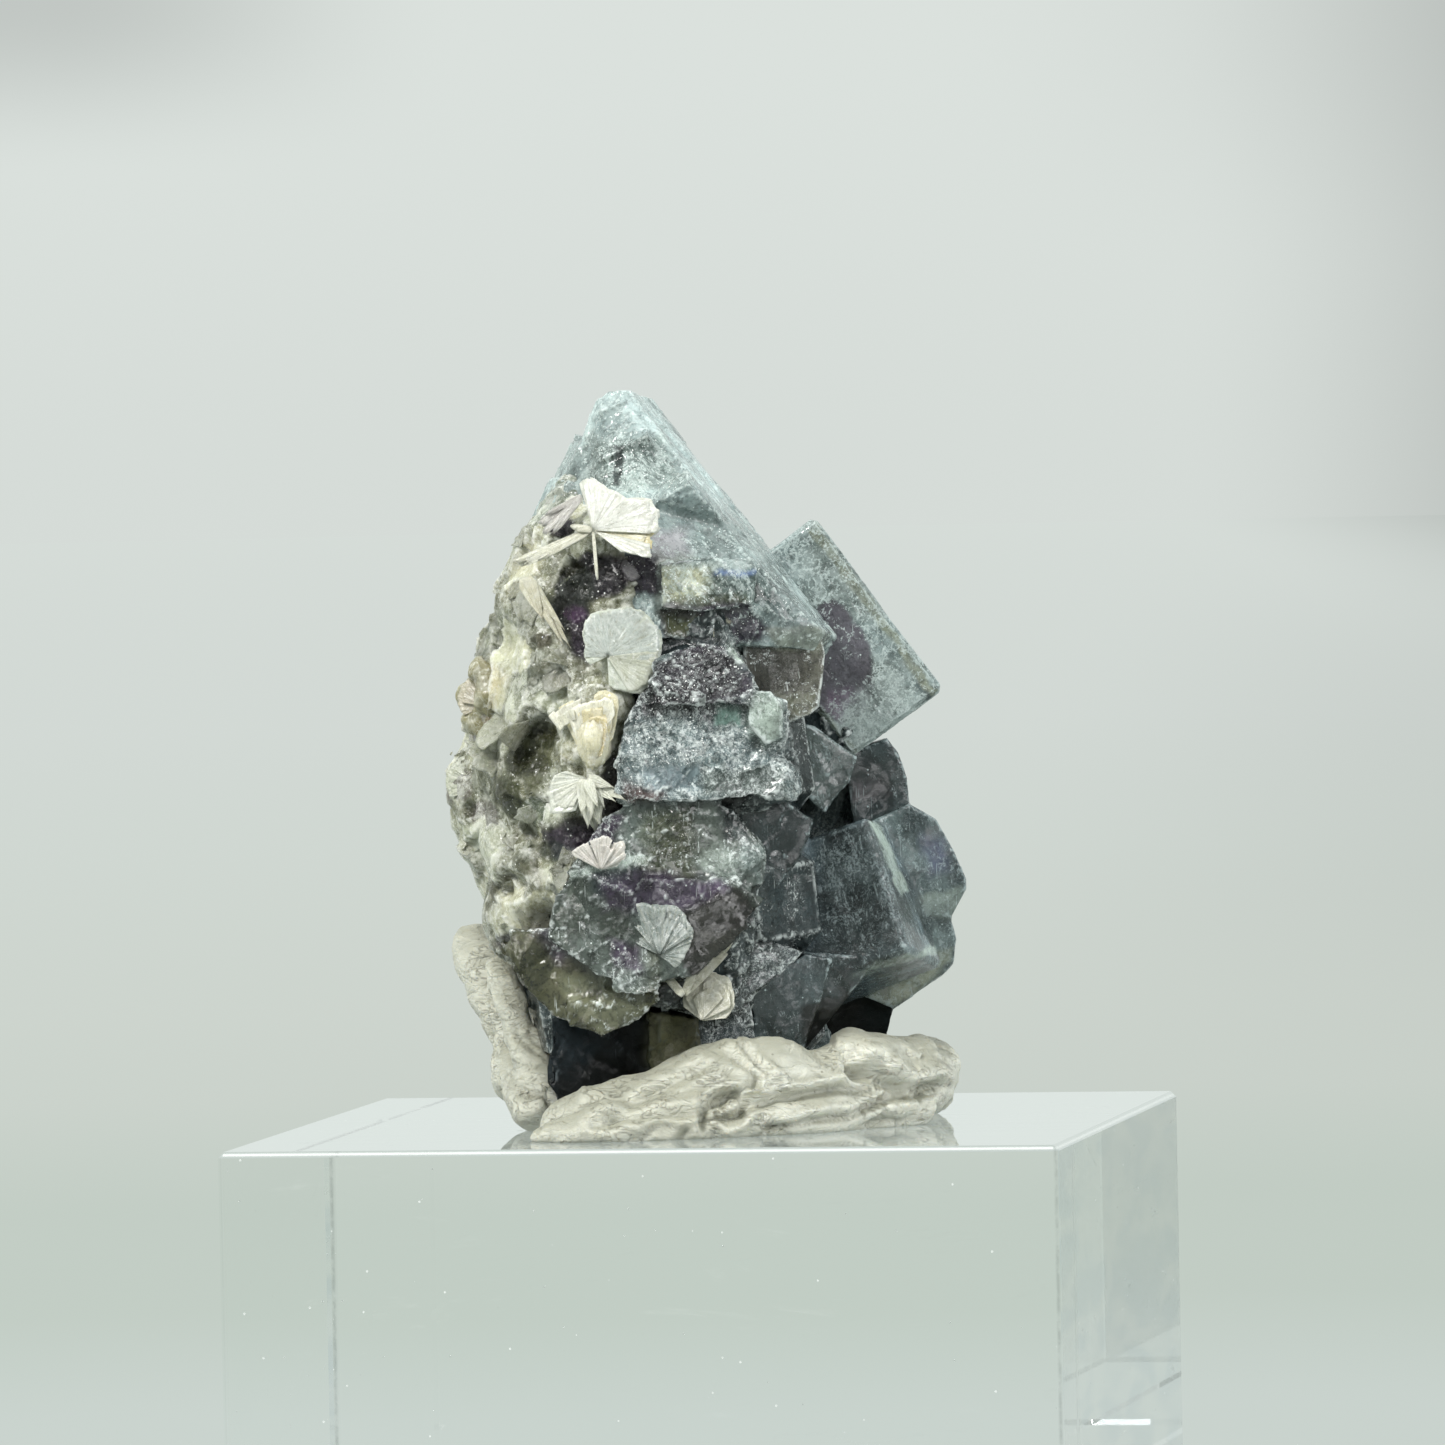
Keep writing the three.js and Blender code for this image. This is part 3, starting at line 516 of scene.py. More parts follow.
def face_chips(names, solids, random):
    """Irregular convex chips, 0.3 to 1.3 mm in radius and sunk into the front faces of the named crystals."""
    chips = []
    for name in names:
        if name.startswith(CALM_CRYSTALS):
            continue
        vertices, triangles = solids[name]["vertices"], solids[name]["triangles"]
        a, b, c = (vertices[triangles[:, k]] for k in range(3))
        area = np.linalg.norm(np.cross(b - a, c - a), axis=1).sum() / 2
        centres, outward = surface_points(vertices, triangles, int(area * CHIP_DENSITY), random)
        others = [solids[other] for other in solids if other != name]
        shown = (outward[:, 1] < -0.2) & ~inside(centres, others, 0.1)
        for centre, normal in zip(centres[shown], outward[shown]):
            size = 0.3 + 1.0 * random.uniform() ** 2.5
            shape = size * np.array([random.uniform(0.8, 1.5), random.uniform(0.5, 0.9), random.uniform(0.8, 1.5)])
            corners = unit(random.normal(size=(10, 3))) * shape
            chips.append({"points": centre - normal * shape[1] * random.uniform(0.35, 0.8) + corners})
    return [finish_solid(chip) for chip in chips]


def finish_solid(solid):
    solid["vertices"], solid["triangles"], solid["normals"], solid["offsets"] = hull(solid["points"])
    return solid


# Colours, as linear red, green and blue

PALE_AQUA = (0.42, 0.53, 0.53)
AQUA = (0.22, 0.29, 0.29)
SLATE_GREEN = (0.16, 0.215, 0.215)
GREY_GREEN = (0.10, 0.13, 0.12)
PALE_GREEN = (0.40, 0.48, 0.42)
DEEP_TEAL = (0.032, 0.050, 0.054)
BLACK_GREEN = (0.016, 0.026, 0.027)
SMOKY_BROWN = (0.05, 0.05, 0.042)
OLIVE = (0.11, 0.115, 0.055)
PALE_OLIVE = (0.21, 0.23, 0.165)
GOLD_GREEN = (0.46, 0.46, 0.30)
PHANTOM_GREY = (0.075, 0.068, 0.085)
PLUM = (0.13, 0.09, 0.14)
VIOLET = (0.058, 0.040, 0.074)
BLACK_VIOLET = (0.022, 0.012, 0.030)
LILAC = (0.44, 0.45, 0.50)
STEEL_BLUE = (0.16, 0.22, 0.25)
SPECTRAL_BLUE = (0.10, 0.20, 0.55)
OXBLOOD = (0.06, 0.018, 0.014)
BLACK = (0.010, 0.011, 0.010)
CREAM = (0.74, 0.72, 0.58)
WARM_WHITE = (0.80, 0.81, 0.74)
TAN = (0.44, 0.38, 0.26)
GREY_MICA = (0.42, 0.46, 0.40)
PEARL_GREY = (0.56, 0.60, 0.52)

# Colour zones of the crystals. Each is an outline of (x, z) points in the specimen's frame, the crystals that
# it is on, its colour, and the frost, sparkle and clearness that it brings where they aren't None.

ZONES = [
    # the dark phantom in the right block, and its stained sides
    (((6.6, 29.6), (7.2, 30.8), (8.0, 31.4), (8.7, 30.9), (9.5, 29.6), (10.3, 28.6), (10.5, 25.6), (9.9, 24.7),
      (8.5, 23.9), (6.9, 24.9)), "right_block", PHANTOM_GREY, 0.94, 0.14, 0.1, None, 0.15),
    (((7.8, 25.9), (10.2, 25.8), (9.7, 24.3), (8.4, 23.9), (7.7, 24.8)), "right_block", PLUM, 0.8, 0.3, 0.3, None, 0.1),
    (((13.3, 26.9), (14.2, 25.7), (13.6, 25.0), (13.0, 25.7)), "right_block", DEEP_TEAL, 0.9, 0.1, 0.0, None, 0.2),
    (((6.8, 24.6), (9.4, 21.8), (9.6, 22.1), (7.2, 24.9)), "right_block", PALE_OLIVE, 0.7, 0.1, 0.3, None, 0.1),
    (((9.0, 25.2), (11.4, 27.0), (13.4, 25.6), (9.6, 21.9), (8.2, 23.2)), "right_block", (0.23, 0.28, 0.27), 0.8, 0.5, 0.5,
     None, 0.1),
    (((7.2, 36.0), (14.2, 25.7), (13.9, 25.3), (6.7, 35.5)), "right_block", PALE_OLIVE, 0.8, 0.1, 0.3, None, 0.1),
    # the great dark cube and its neighbours
    (((7.0, 17.6), (10.6, 18.0), (11.4, 15.4), (7.0, 14.6)), "great_cube", (0.012, 0.016, 0.016), 0.9, 0.6, 0.05, 0.0, None),
    (((5.4, 13.2), (7.5, 13.2), (7.8, 10.8), (5.7, 10.5)), "great_cube", STEEL_BLUE, 0.9, 0.9, 0.3, 0.1, None),
    (((7.0, 16.5), (10.4, 18.2), (12.0, 14.0), (13.2, 10.7), (9.2, 9.8), (6.6, 9.9)), "great_cube", BLACK_GREEN,
     0.9, 0.6, 0.42, None, None),
    (((13.0, 17.1), (14.5, 16.8), (14.9, 15.0), (13.6, 14.7)), "upper_right", (0.07, 0.08, 0.15), 0.8, 0.5, 0.2,
     None, 0.2),
    (((12.2, 13.4), (15.7, 13.8), (15.5, 12.8), (15.0, 12.0), (12.4, 11.9)), "upper_right", PALE_GREEN, 0.5, 0.2,
     0.25, None, 0.1),
    (((13.7, 11.9), (15.1, 10.9), (15.0, 9.5), (13.8, 9.5)), "lower_right", SLATE_GREEN, 0.8, 0.2, 0.2, None, 0.2),
    # painted highlight: a pale green line along the great cube's edge between its front and right faces
    (((10.1, 18.5), (11.1, 16.8), (12.3, 13.8), (11.8, 13.6), (10.7, 16.4), (10.0, 18.2)), "great_cube", PALE_GREEN,
     1.0, 0.1, 0.5, None, 0.0),
    # painted highlight: a pale green line along the great cube's lower edge
    (((5.9, 7.8), (10.4, 9.7), (13.6, 10.5), (14.9, 10.8), (15.1, 10.4), (13.6, 10.0), (10.4, 9.3), (6.0, 7.4)),
     "great_cube", PALE_GREEN, 0.8, 0.12, 0.5, 0.4, 0.0),
    (((9.6, 8.9), (15.0, 10.2), (14.8, 9.3), (12.5, 7.3), (11.2, 6.7), (9.2, 7.0)), "lower_right", PALE_OLIVE, 0.9,
     0.3, 0.4, None, 0.1),
    (((5.6, 7.3), (9.4, 8.2), (9.6, 6.8), (8.0, 4.3), (5.6, 4.7)), "foot_c", BLACK, 0.95, 0.3, 0.0, None, 0.0),
    (((8.6, 20.2), (10.7, 20.4), (11.6, 19.5), (8.9, 19.1)), "cube_behind", (0.07, 0.06, 0.068), 0.7, 0.3, 0.2, None, 0.1),
    # the smoky corner and the wedge over it
    (((3.9, 28.6), (5.9, 28.8), (6.0, 25.9), (4.0, 25.7)), "smoky_corner", (0.075, 0.07, 0.055), 0.9, 0.8, 0.2, None, 0.4),
    (((3.9, 26.0), (7.0, 25.9), (6.7, 24.7), (5.0, 24.1), (4.0, 24.9)), "smoky_corner", (0.14, 0.145, 0.10), 0.9, 0.15, 0.2,
     None, 0.3),
    (((3.8, 29.9), (6.9, 30.0), (8.0, 29.4), (7.2, 28.4), (4.5, 28.6)), "s", PALE_OLIVE, 0.7, 0.2, 0.3, 0.2, 0.2),
    # the summit: its flank, its glittering terraces, and the near-black zones under them
    (((-8.5, 41.3), (-6.1, 41.3), (-6.0, 37.7), (-8.8, 36.6)), "summit", GREY_GREEN, 0.55, 0.8, 0.3, 0.3, None),
    (((-6.2, 41.5), (-2.1, 41.4), (-0.2, 38.8), (-3.3, 38.0), (-6.4, 38.4)), "summit", (0.20, 0.26, 0.23), 0.7, 0.5, 0.7,
     1.0, None),
    (((-4.9, 41.0), (-4.3, 40.9), (-4.5, 38.6), (-5.0, 38.8)), "summit", BLACK_GREEN, 0.9, 0.15, 0.1, 0.8, None),
    (((-2.8, 36.0), (-0.4, 36.0), (-0.3, 34.3), (-2.6, 34.0)), "summit", (0.56, 0.54, 0.58), 0.9, 0.5, 0.2, 0.1, 0.2),
    (((-2.4, 33.9), (0.9, 33.7), (1.2, 31.9), (-2.1, 31.2)), "summit", GOLD_GREEN, 0.95, 0.9, 0.6, 1.0, 0.1),
    (((0.6, 33.3), (4.6, 33.3), (5.2, 31.0), (0.8, 31.0)), "summit", (0.07, 0.11, 0.10), 0.9, 0.7, 0.45, 1.0, 0.1),
    (((-0.4, 37.6), (2.6, 36.4), (5.2, 33.4), (3.6, 33.4), (-0.2, 34.3)), "summit", (0.20, 0.26, 0.25), 0.65, 0.7, 0.28,
     0.6, None),
    (((1.1, 33.45), (3.4, 33.35), (3.4, 33.05), (1.1, 33.1)), "summit", SPECTRAL_BLUE, 0.7, 0.15, 0.3, 0.6, 0.0),
    (((-1.9, 31.9), (2.8, 32.1), (3.0, 31.0), (-2.0, 30.8)), "summit", (0.05, 0.055, 0.025), 0.9, 0.4, 0.2, 0.8, 0.0),
    (((-2.3, 31.4), (3.0, 31.5), (4.1, 30.0), (3.6, 29.0), (0.1, 28.9), (-2.3, 29.3)), "summit", BLACK_VIOLET, 0.95,
     0.25, 0.22, 0.7, 0.0),
    (((-6.0, 34.7), (-2.4, 34.4), (-2.3, 32.1), (-5.9, 32.3)), "summit", (0.012, 0.007, 0.018), 1.0, 0.25, 0.02, 0.5, 0.0),
    (((-0.4, 28.9), (0.5, 29.7), (1.7, 30.6), (2.0, 30.2), (1.0, 29.1), (0.1, 28.7)), "summit", (0.42, 0.36, 0.22), 0.95,
     0.1, 0.3, 0.2, 0.1),
    (((-2.2, 31.0), (-0.2, 31.0), (0.1, 29.9), (-2.0, 29.8)), "summit", (0.10, 0.11, 0.04), 0.85, 0.4, 0.1, 0.5, 0.1),
    (((-8.7, 34.7), (-5.9, 34.6), (-5.9, 31.7), (-6.8, 28.6), (-8.2, 29.5)), "summit", BLACK_GREEN, 0.9, 0.4, 0.4,
     1.0, 0.0),
    # the broken crown and the frosted block
    (((-3.5, 26.5), (-2.8, 28.1), (0.1, 29.1), (2.3, 28.6), (2.6, 26.4), (-0.0, 25.1), (-3.0, 24.9)), "broken_crown",
     (0.017, 0.013, 0.019), 0.97, 0.4, 0.26, 1.0, 0.0),
    (((-3.5, 26.5), (-2.8, 28.1), (0.1, 29.1), (2.3, 28.6), (2.6, 26.4), (-0.0, 25.1), (-3.0, 24.9)), "frosted_block",
     (0.022, 0.022, 0.027), 0.9, 0.5, 0.36, 1.0, 0.0),
    (((1.7, 29.3), (3.9, 29.3), (3.8, 28.0), (2.2, 27.9)), "broken_crown", PALE_GREEN, 0.9, 0.15, 0.4, 0.4, 0.1),
    (((0.9, 25.4), (2.5, 25.4), (2.3, 24.2), (1.0, 24.3)), "frosted_block", (0.25, 0.42, 0.36), 0.9, 0.15, 0.1, 0.1, 0.3),
    (((-3.6, 21.9), (-0.1, 22.0), (0.1, 20.5), (-3.1, 20.4)), "frosted_block", (0.17, 0.23, 0.25), 0.85, 0.3, 0.15, 0.2, 0.3),
    (((-0.1, 21.6), (5.0, 21.7), (5.0, 20.0), (-0.1, 20.2)), "frosted_block", (0.075, 0.095, 0.085), 0.85, 0.4, 0.26, 0.4, 0.1),
    (((-4.8, 21.2), (-2.2, 20.4), (-2.5, 19.6), (-4.6, 19.8)), "frosted_block", OXBLOOD, 0.8, 0.3, 0.2, 0.5, 0.1),
    (((2.8, 26.5), (3.9, 26.4), (4.8, 25.4), (4.8, 23.6), (3.4, 23.3), (2.6, 24.9)), "pale_tongue", PALE_GREEN, 0.9,
     0.4, 0.15, 0.1, 0.3),
    (((0.5, 19.9), (2.6, 19.8), (2.7, 17.6), (0.9, 17.4)), "pale_crystal_upper", BLACK_GREEN, 0.95, 0.15, 0.2, 0.3, 0.2),
    # the pale crystals low in front, with their olive, smoky and violet layers
    (((-6.8, 15.7), (-3.5, 16.1), (-3.3, 14.8), (-6.6, 14.4)), "pale_crystal", BLACK_GREEN, 0.9, 0.3, 0.12, 0.5, 0.0),
    (((-8.4, 15.9), (-4.1, 16.7), (-0.6, 16.5), (-0.5, 16.1), (-4.1, 16.2), (-8.4, 15.4)), "pale_crystal", PALE_GREEN,
     0.8, 0.15, 0.5, 0.1, 0.1),
    (((-3.7, 19.3), (-0.7, 19.6), (0.1, 16.9), (-0.8, 14.9), (-3.2, 15.2)), "pale_crystal", (0.075, 0.085, 0.045), 0.9, 0.8, 0.18,
     0.4, 0.3),
    (((-0.1, 19.9), (0.8, 19.6), (1.1, 17.4), (1.9, 15.7), (-0.2, 15.2), (-0.8, 18.1)), "pale_crystal", (0.26, 0.31, 0.27),
     0.7, 0.5, 0.16, 0.1, 0.4),
    (((2.0, 18.2), (3.7, 16.9), (3.3, 14.9), (2.3, 15.9)), "pale_crystal", (0.17, 0.22, 0.21), 0.8, 0.3, 0.26, 0.2, 0.3),
    (((-1.4, 14.7), (2.2, 14.8), (3.7, 13.0), (2.6, 11.0), (1.2, 8.8), (-0.9, 9.0), (-1.9, 11.7)), "pale_crystal", (0.020, 0.020, 0.016), 1.0, 0.3,
     0.0, 0.0, 0.05),
    (((-6.1, 15.3), (-3.8, 15.8), (0.6, 15.3), (1.6, 14.4), (-1.7, 13.5), (-5.9, 13.6)), "pale_crystal", VIOLET, 0.92,
     0.45, 0.1, 0.2, 0.1),
    (((-9.8, 19.1), (-4.8, 19.3), (-5.2, 17.0), (-9.4, 17.0)), "pale_crystal", BLACK_VIOLET, 0.97, 0.3, 0.12, 0.6, 0.0),
    (((-5.8, 11.8), (-3.8, 11.4), (-3.8, 9.8), (-5.4, 10.2)), "pale_crystal_lower", VIOLET, 0.95, 0.3, 0.15, 0.3, 0.1),
    (((-9.7, 14.2), (-6.2, 13.8), (-6.2, 11.2), (-8.6, 10.5), (-10.1, 12.1)), "olive_shield", VIOLET, 0.8, 0.5, 0.15,
     0.4, 0.1),
    (((-6.8, 12.3), (-4.7, 12.0), (-4.6, 10.2), (-6.2, 10.2)), "olive_shield", OLIVE, 0.8, 0.4, 0.2, 0.3, 0.3),
    (((-8.6, 9.7), (-3.9, 9.0), (-3.9, 7.2), (-6.1, 6.0), (-8.4, 7.9)), "olive_shield", (0.17, 0.18, 0.115), 0.7, 0.4, 0.08,
     0.1, 0.3),
    (((1.9, 11.3), (6.0, 10.7), (5.0, 9.4), (2.1, 7.6), (1.4, 8.8)), "foot_crystal", DEEP_TEAL, 0.7, 0.4, 0.4, 0.3,
     None),
]

# Each crystal's deep and body colours, frost, sparkle and clearness, by the start of its name

LOOKS = {
    "summit": (AQUA, PALE_AQUA, 0.36, 0.5, 0.12),
    "right_block": (GREY_GREEN, SLATE_GREEN, 0.40, 0.1, 0.15),
    "smoky_corner": ((0.075, 0.07, 0.055), (0.14, 0.14, 0.105), 0.16, 0.2, 0.3),
    "small_dark_cube": (BLACK_GREEN, (0.06, 0.08, 0.075), 0.2, 0.15, 0.2),
    "cube_behind": (BLACK_GREEN, DEEP_TEAL, 0.12, 0.05, 0.3),
    "great_cube": (BLACK_GREEN, STEEL_BLUE, 0.3, 0.15, 0.2),
    "upper_right_cube": (DEEP_TEAL, SLATE_GREEN, 0.22, 0.1, 0.3),
    "lower_right_cube": (DEEP_TEAL, GREY_GREEN, 0.25, 0.1, 0.3),
    "frosted_block": ((0.02, 0.03, 0.034), (0.13, 0.18, 0.185), 0.42, 0.8, 0.05),
    "broken_crown": (BLACK_VIOLET, SLATE_GREEN, 0.22, 1.0, 0.0),
    "pale_tongue": (AQUA, PALE_GREEN, 0.2, 0.1, 0.3),
    "slanted_crystal": (BLACK_GREEN, (0.022, 0.034, 0.036), 0.12, 0.1, 0.2),
    "pale_crystal": ((0.07, 0.088, 0.070), (0.18, 0.22, 0.20), 0.13, 0.35, 0.25),
    "olive_shield": ((0.055, 0.058, 0.026), (0.12, 0.12, 0.07), 0.03, 0.2, 0.2),
    "olive_lump": ((0.13, 0.13, 0.07), (0.035, 0.035, 0.025), 0.08, 0.2, 0.2),
    # foot_crystal_5 and foot_cube: their own blue-black, darkened further to near black as painted shade under the
    # overhang
    "foot_crystal_5": ((0.004, 0.005, 0.005), (0.012, 0.018, 0.022), 0.0, 0.0, 0.0),
    "foot_cube": ((0.005, 0.006, 0.006), (0.012, 0.016, 0.016), 0.02, 0.1, 0.0),
    "foot": (BLACK_GREEN, (0.05, 0.07, 0.075), 0.2, 0.2, 0.15),
    "core": (BLACK_GREEN, DEEP_TEAL, 0.14, 0.25, 0.1),
    "back": (DEEP_TEAL, SLATE_GREEN, 0.35, 0.25, 0.2),
}


# How deep the broken planes of each crystal in a skin are, by the start of its name

RELIEF_DEPTHS = {
    "summit_ledge": 0.4, "summit": 0.3, "frosted_block": 0.36, "broken_crown": 0.6, "pale_tongue": 0.14,
    "pale_crystal": 0.34, "olive_lump": 0.7, "olive": 0.4, "foot_crystal_1": 0.35, "foot_crystal_4": 0.3, "foot_crystal_5": 0.55,
    "foot": 0.14, "core": 0.6, "great_cube": 0.09, "small_dark_cube": 0.2, "cube_behind": 0.12, "upper_right": 0.16,
    "lower_right": 0.16, "slanted": 0.2,
}


def look_of(name):
    return next(look for start, look in LOOKS.items() if name.startswith(start))


def outline_distance(flat, outline):
    """How far each point is inside an outline, below zero outside it."""
    outline = np.array(outline)
    nearest = np.full(len(flat), np.inf)
    within = np.zeros(len(flat), bool)
    for start, end in zip(outline, np.roll(outline, -1, axis=0)):
        side = end - start
        share = np.clip((flat - start) @ side / (side @ side), 0, 1)
        nearest = np.minimum(nearest, np.linalg.norm(flat - start - share[:, None] * side, axis=1))
        straddles = (start[1] > flat[:, 1]) != (end[1] > flat[:, 1])
        if side[1] != 0:
            crossing = start[0] + (flat[:, 1] - start[1]) / side[1] * side[0]
            within ^= straddles & (flat[:, 0] < crossing)
    return np.where(within, nearest, -nearest)


def looks_at(points, name, seed):
    """The tint, frost, sparkle and clearness of the named crystal at each point."""
    deep, body, frost, sparkle, clear = look_of(name)
    clouds = smooth_step(rough_noise(points, 2.6, seed, 4), -0.35, 0.4)[:, None]
    tint = np.array(deep) * (1 - clouds) + np.array(body) * clouds
    frost = np.full(len(points), frost) + 0.12 * rough_noise(points, 1.8, seed + 9)
    sparkle = np.full(len(points), sparkle, float)
    clear = np.full(len(points), clear, float)
    wander = np.stack([rough_noise(points, 0.9, seed + 3), rough_noise(points, 0.9, seed + 4)], axis=1)
    for outline, on, colour, strength, soft, new_frost, new_sparkle, new_clear in ZONES:
        if not name.startswith(on):
            continue
        inside_by = outline_distance(points[:, [0, 2]] + (0.2 + 0.5 * soft) * wander, outline)
        share = strength * smooth_step(inside_by, -soft, soft)
        tint += share[:, None] * (np.array(colour) * (0.8 + 0.5 * clouds) - tint)
        for values, new in ((frost, new_frost), (sparkle, new_sparkle), (clear, new_clear)):
            if new is not None:
                values += share * (new - values)
    return {"tint": tint, "frost": np.clip(frost, 0, 1), "sparkle": sparkle, "clear": clear}


def paint(part, name, axes, seed):
    """Stores one crystal's looks, and each vertex's place along the crystal's own axes."""
    part |= looks_at(part["vertices"], name, seed)
    part["grain"] = part["vertices"] @ axes.T + 17.0 * seed
    return part


def paint_skin(points, names, solids, seed):
    """The looks of the named crystals, each weighed by how near its own surface is, and their relief."""
    gaps = np.stack([(solids[n]["offsets"] - points @ solids[n]["normals"].T).min(axis=1) for n in names], axis=1)
    weight = np.exp(-np.abs(gaps) / 0.15) + 1e-9
    weight /= weight.sum(axis=1, keepdims=True)
    looks = {"tint": np.zeros((len(points), 3)), "relief": np.zeros(len(points))}
    looks |= {key: np.zeros(len(points)) for key in ("frost", "sparkle", "clear")}
    for k, name in enumerate(names):
        near = weight[:, k] > 0.02
        if not near.any():
            continue
        own = looks_at(points[near], name, seed)
        looks["tint"][near] += weight[near, k][:, None] * own["tint"]
        for key in ("frost", "sparkle", "clear"):
            looks[key][near] += weight[near, k] * own[key]
        depth = next(depth for start, depth in RELIEF_DEPTHS.items() if name.startswith(start))
        looks["relief"][near] += weight[near, k] * depth
    return looks


# Meshes


def join_parts(parts):
    """Several meshes' arrays as one, masks included."""
    joined = {key: [] for key in parts[0]}
    start = 0
    for part in parts:
        for key, values in part.items():
            joined[key].append(values + start if key == "triangles" else values)
        start += len(part["vertices"])
    return {key: np.concatenate(values) for key, values in joined.items()}


def store_mask(mesh, name, values):
    """A number for each vertex, or a colour or place where the values have three columns."""
    if values.ndim == 1:
        mesh.attributes.new(name, "FLOAT", "POINT").data.foreach_set("value", values.astype(np.float32))
    elif name == "tint":
        colours = np.concatenate([np.clip(values, 0, 1), np.ones((len(values), 1))], axis=1)
        mesh.attributes.new(name, "FLOAT_COLOR", "POINT").data.foreach_set("color", colours.astype(np.float32).ravel())
    else:
        mesh.attributes.new(name, "FLOAT_VECTOR", "POINT").data.foreach_set("vector", values.astype(np.float32).ravel())


def new_mesh(name, vertices, triangles):
    mesh = bpy.data.meshes.new(name)
    mesh.vertices.add(len(vertices))
    mesh.vertices.foreach_set("co", vertices.astype(np.float32).ravel())
    mesh.loops.add(triangles.size)
    mesh.loops.foreach_set("vertex_index", triangles.ravel().astype(np.int32))
    mesh.polygons.add(len(triangles))
    mesh.polygons.foreach_set("loop_start", np.arange(0, triangles.size, 3, dtype=np.int32))
    mesh.update()
    mesh.validate()
    return mesh


def add_piece(name, part, material, stands_for, smooth=False):
    """Makes the Blender object, stores its masks, parents it to the root, and hides the imported part that it stands
    for.
    """
    mesh = new_mesh(name, to_row(part["vertices"]), part["triangles"])
    for key, values in part.items():
        if key not in ("vertices", "triangles"):
            store_mask(mesh, key, values)
    mesh.polygons.foreach_set("use_smooth", np.full(len(mesh.polygons), smooth))
    mesh.materials.append(material)
    piece = bpy.data.objects.new(name, mesh)
    bpy.context.scene.collection.objects.link(piece)
    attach(piece, "root")
    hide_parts(stands_for)
    return piece


def fused(solids, voxel):
    """One skin round several closed meshes: vertices in millimetres, triangles and outward normals."""
    start = 0
    vertices, triangles = [], []
    for solid in solids:
        vertices.append(solid["vertices"])
        triangles.append(solid["triangles"] + start)
        start += len(solid["vertices"])
    mesh = new_mesh("lumps", np.concatenate(vertices), np.concatenate(triangles))
    lumps = bpy.data.objects.new("lumps", mesh)
    bpy.context.scene.collection.objects.link(lumps)
    remesh = lumps.modifiers.new("fuse", "REMESH")
    remesh.mode = "VOXEL"
    remesh.voxel_size = voxel
    skin = bpy.data.meshes.new_from_object(lumps.evaluated_get(bpy.context.evaluated_depsgraph_get()))
    bpy.data.objects.remove(lumps)
    skin.calc_loop_triangles()
    points = np.zeros(len(skin.vertices) * 3)
    skin.vertices.foreach_get("co", points)
    corners = np.zeros(len(skin.loop_triangles) * 3, np.int32)
    skin.loop_triangles.foreach_get("vertices", corners)
    bpy.data.meshes.remove(skin)
    return points.reshape(-1, 3), corners.reshape(-1, 3)


def vertex_normals(vertices, triangles):
    a, b, c = (vertices[triangles[:, k]] for k in range(3))
    across = np.cross(b - a, c - a)
    normals = np.zeros_like(vertices)
    for k in range(3):
        np.add.at(normals, triangles[:, k], across)
    return unit(normals)


def neighbour_mean(values, triangles):
    """The mean of each vertex's neighbours, for columns of values on a closed mesh."""
    count = len(values)
    weight = np.zeros(count)
    total = np.zeros_like(values)
    for a, b in ((0, 1), (1, 2), (2, 0)):
        weight += np.bincount(triangles[:, a], minlength=count)
        for k in range(values.shape[1]):
            total[:, k] += np.bincount(triangles[:, a], values[triangles[:, b], k], minlength=count)
    return total / np.maximum(weight, 1)[:, None]


def relaxed(values, triangles, times):
    for _ in range(times):
        values = 0.5 * values + 0.5 * neighbour_mean(values, triangles)
    return values


def bends(vertices, triangles):
    """How far each vertex stands out of its surroundings, in millimetres: close by, and over a wider reach."""
    normals = vertex_normals(vertices, triangles)
    close = relaxed(vertices, triangles, 4)
    wide = relaxed(close, triangles, 36)
    return ((vertices - close) * normals).sum(axis=1), ((vertices - wide) * normals).sum(axis=1)


# Materials


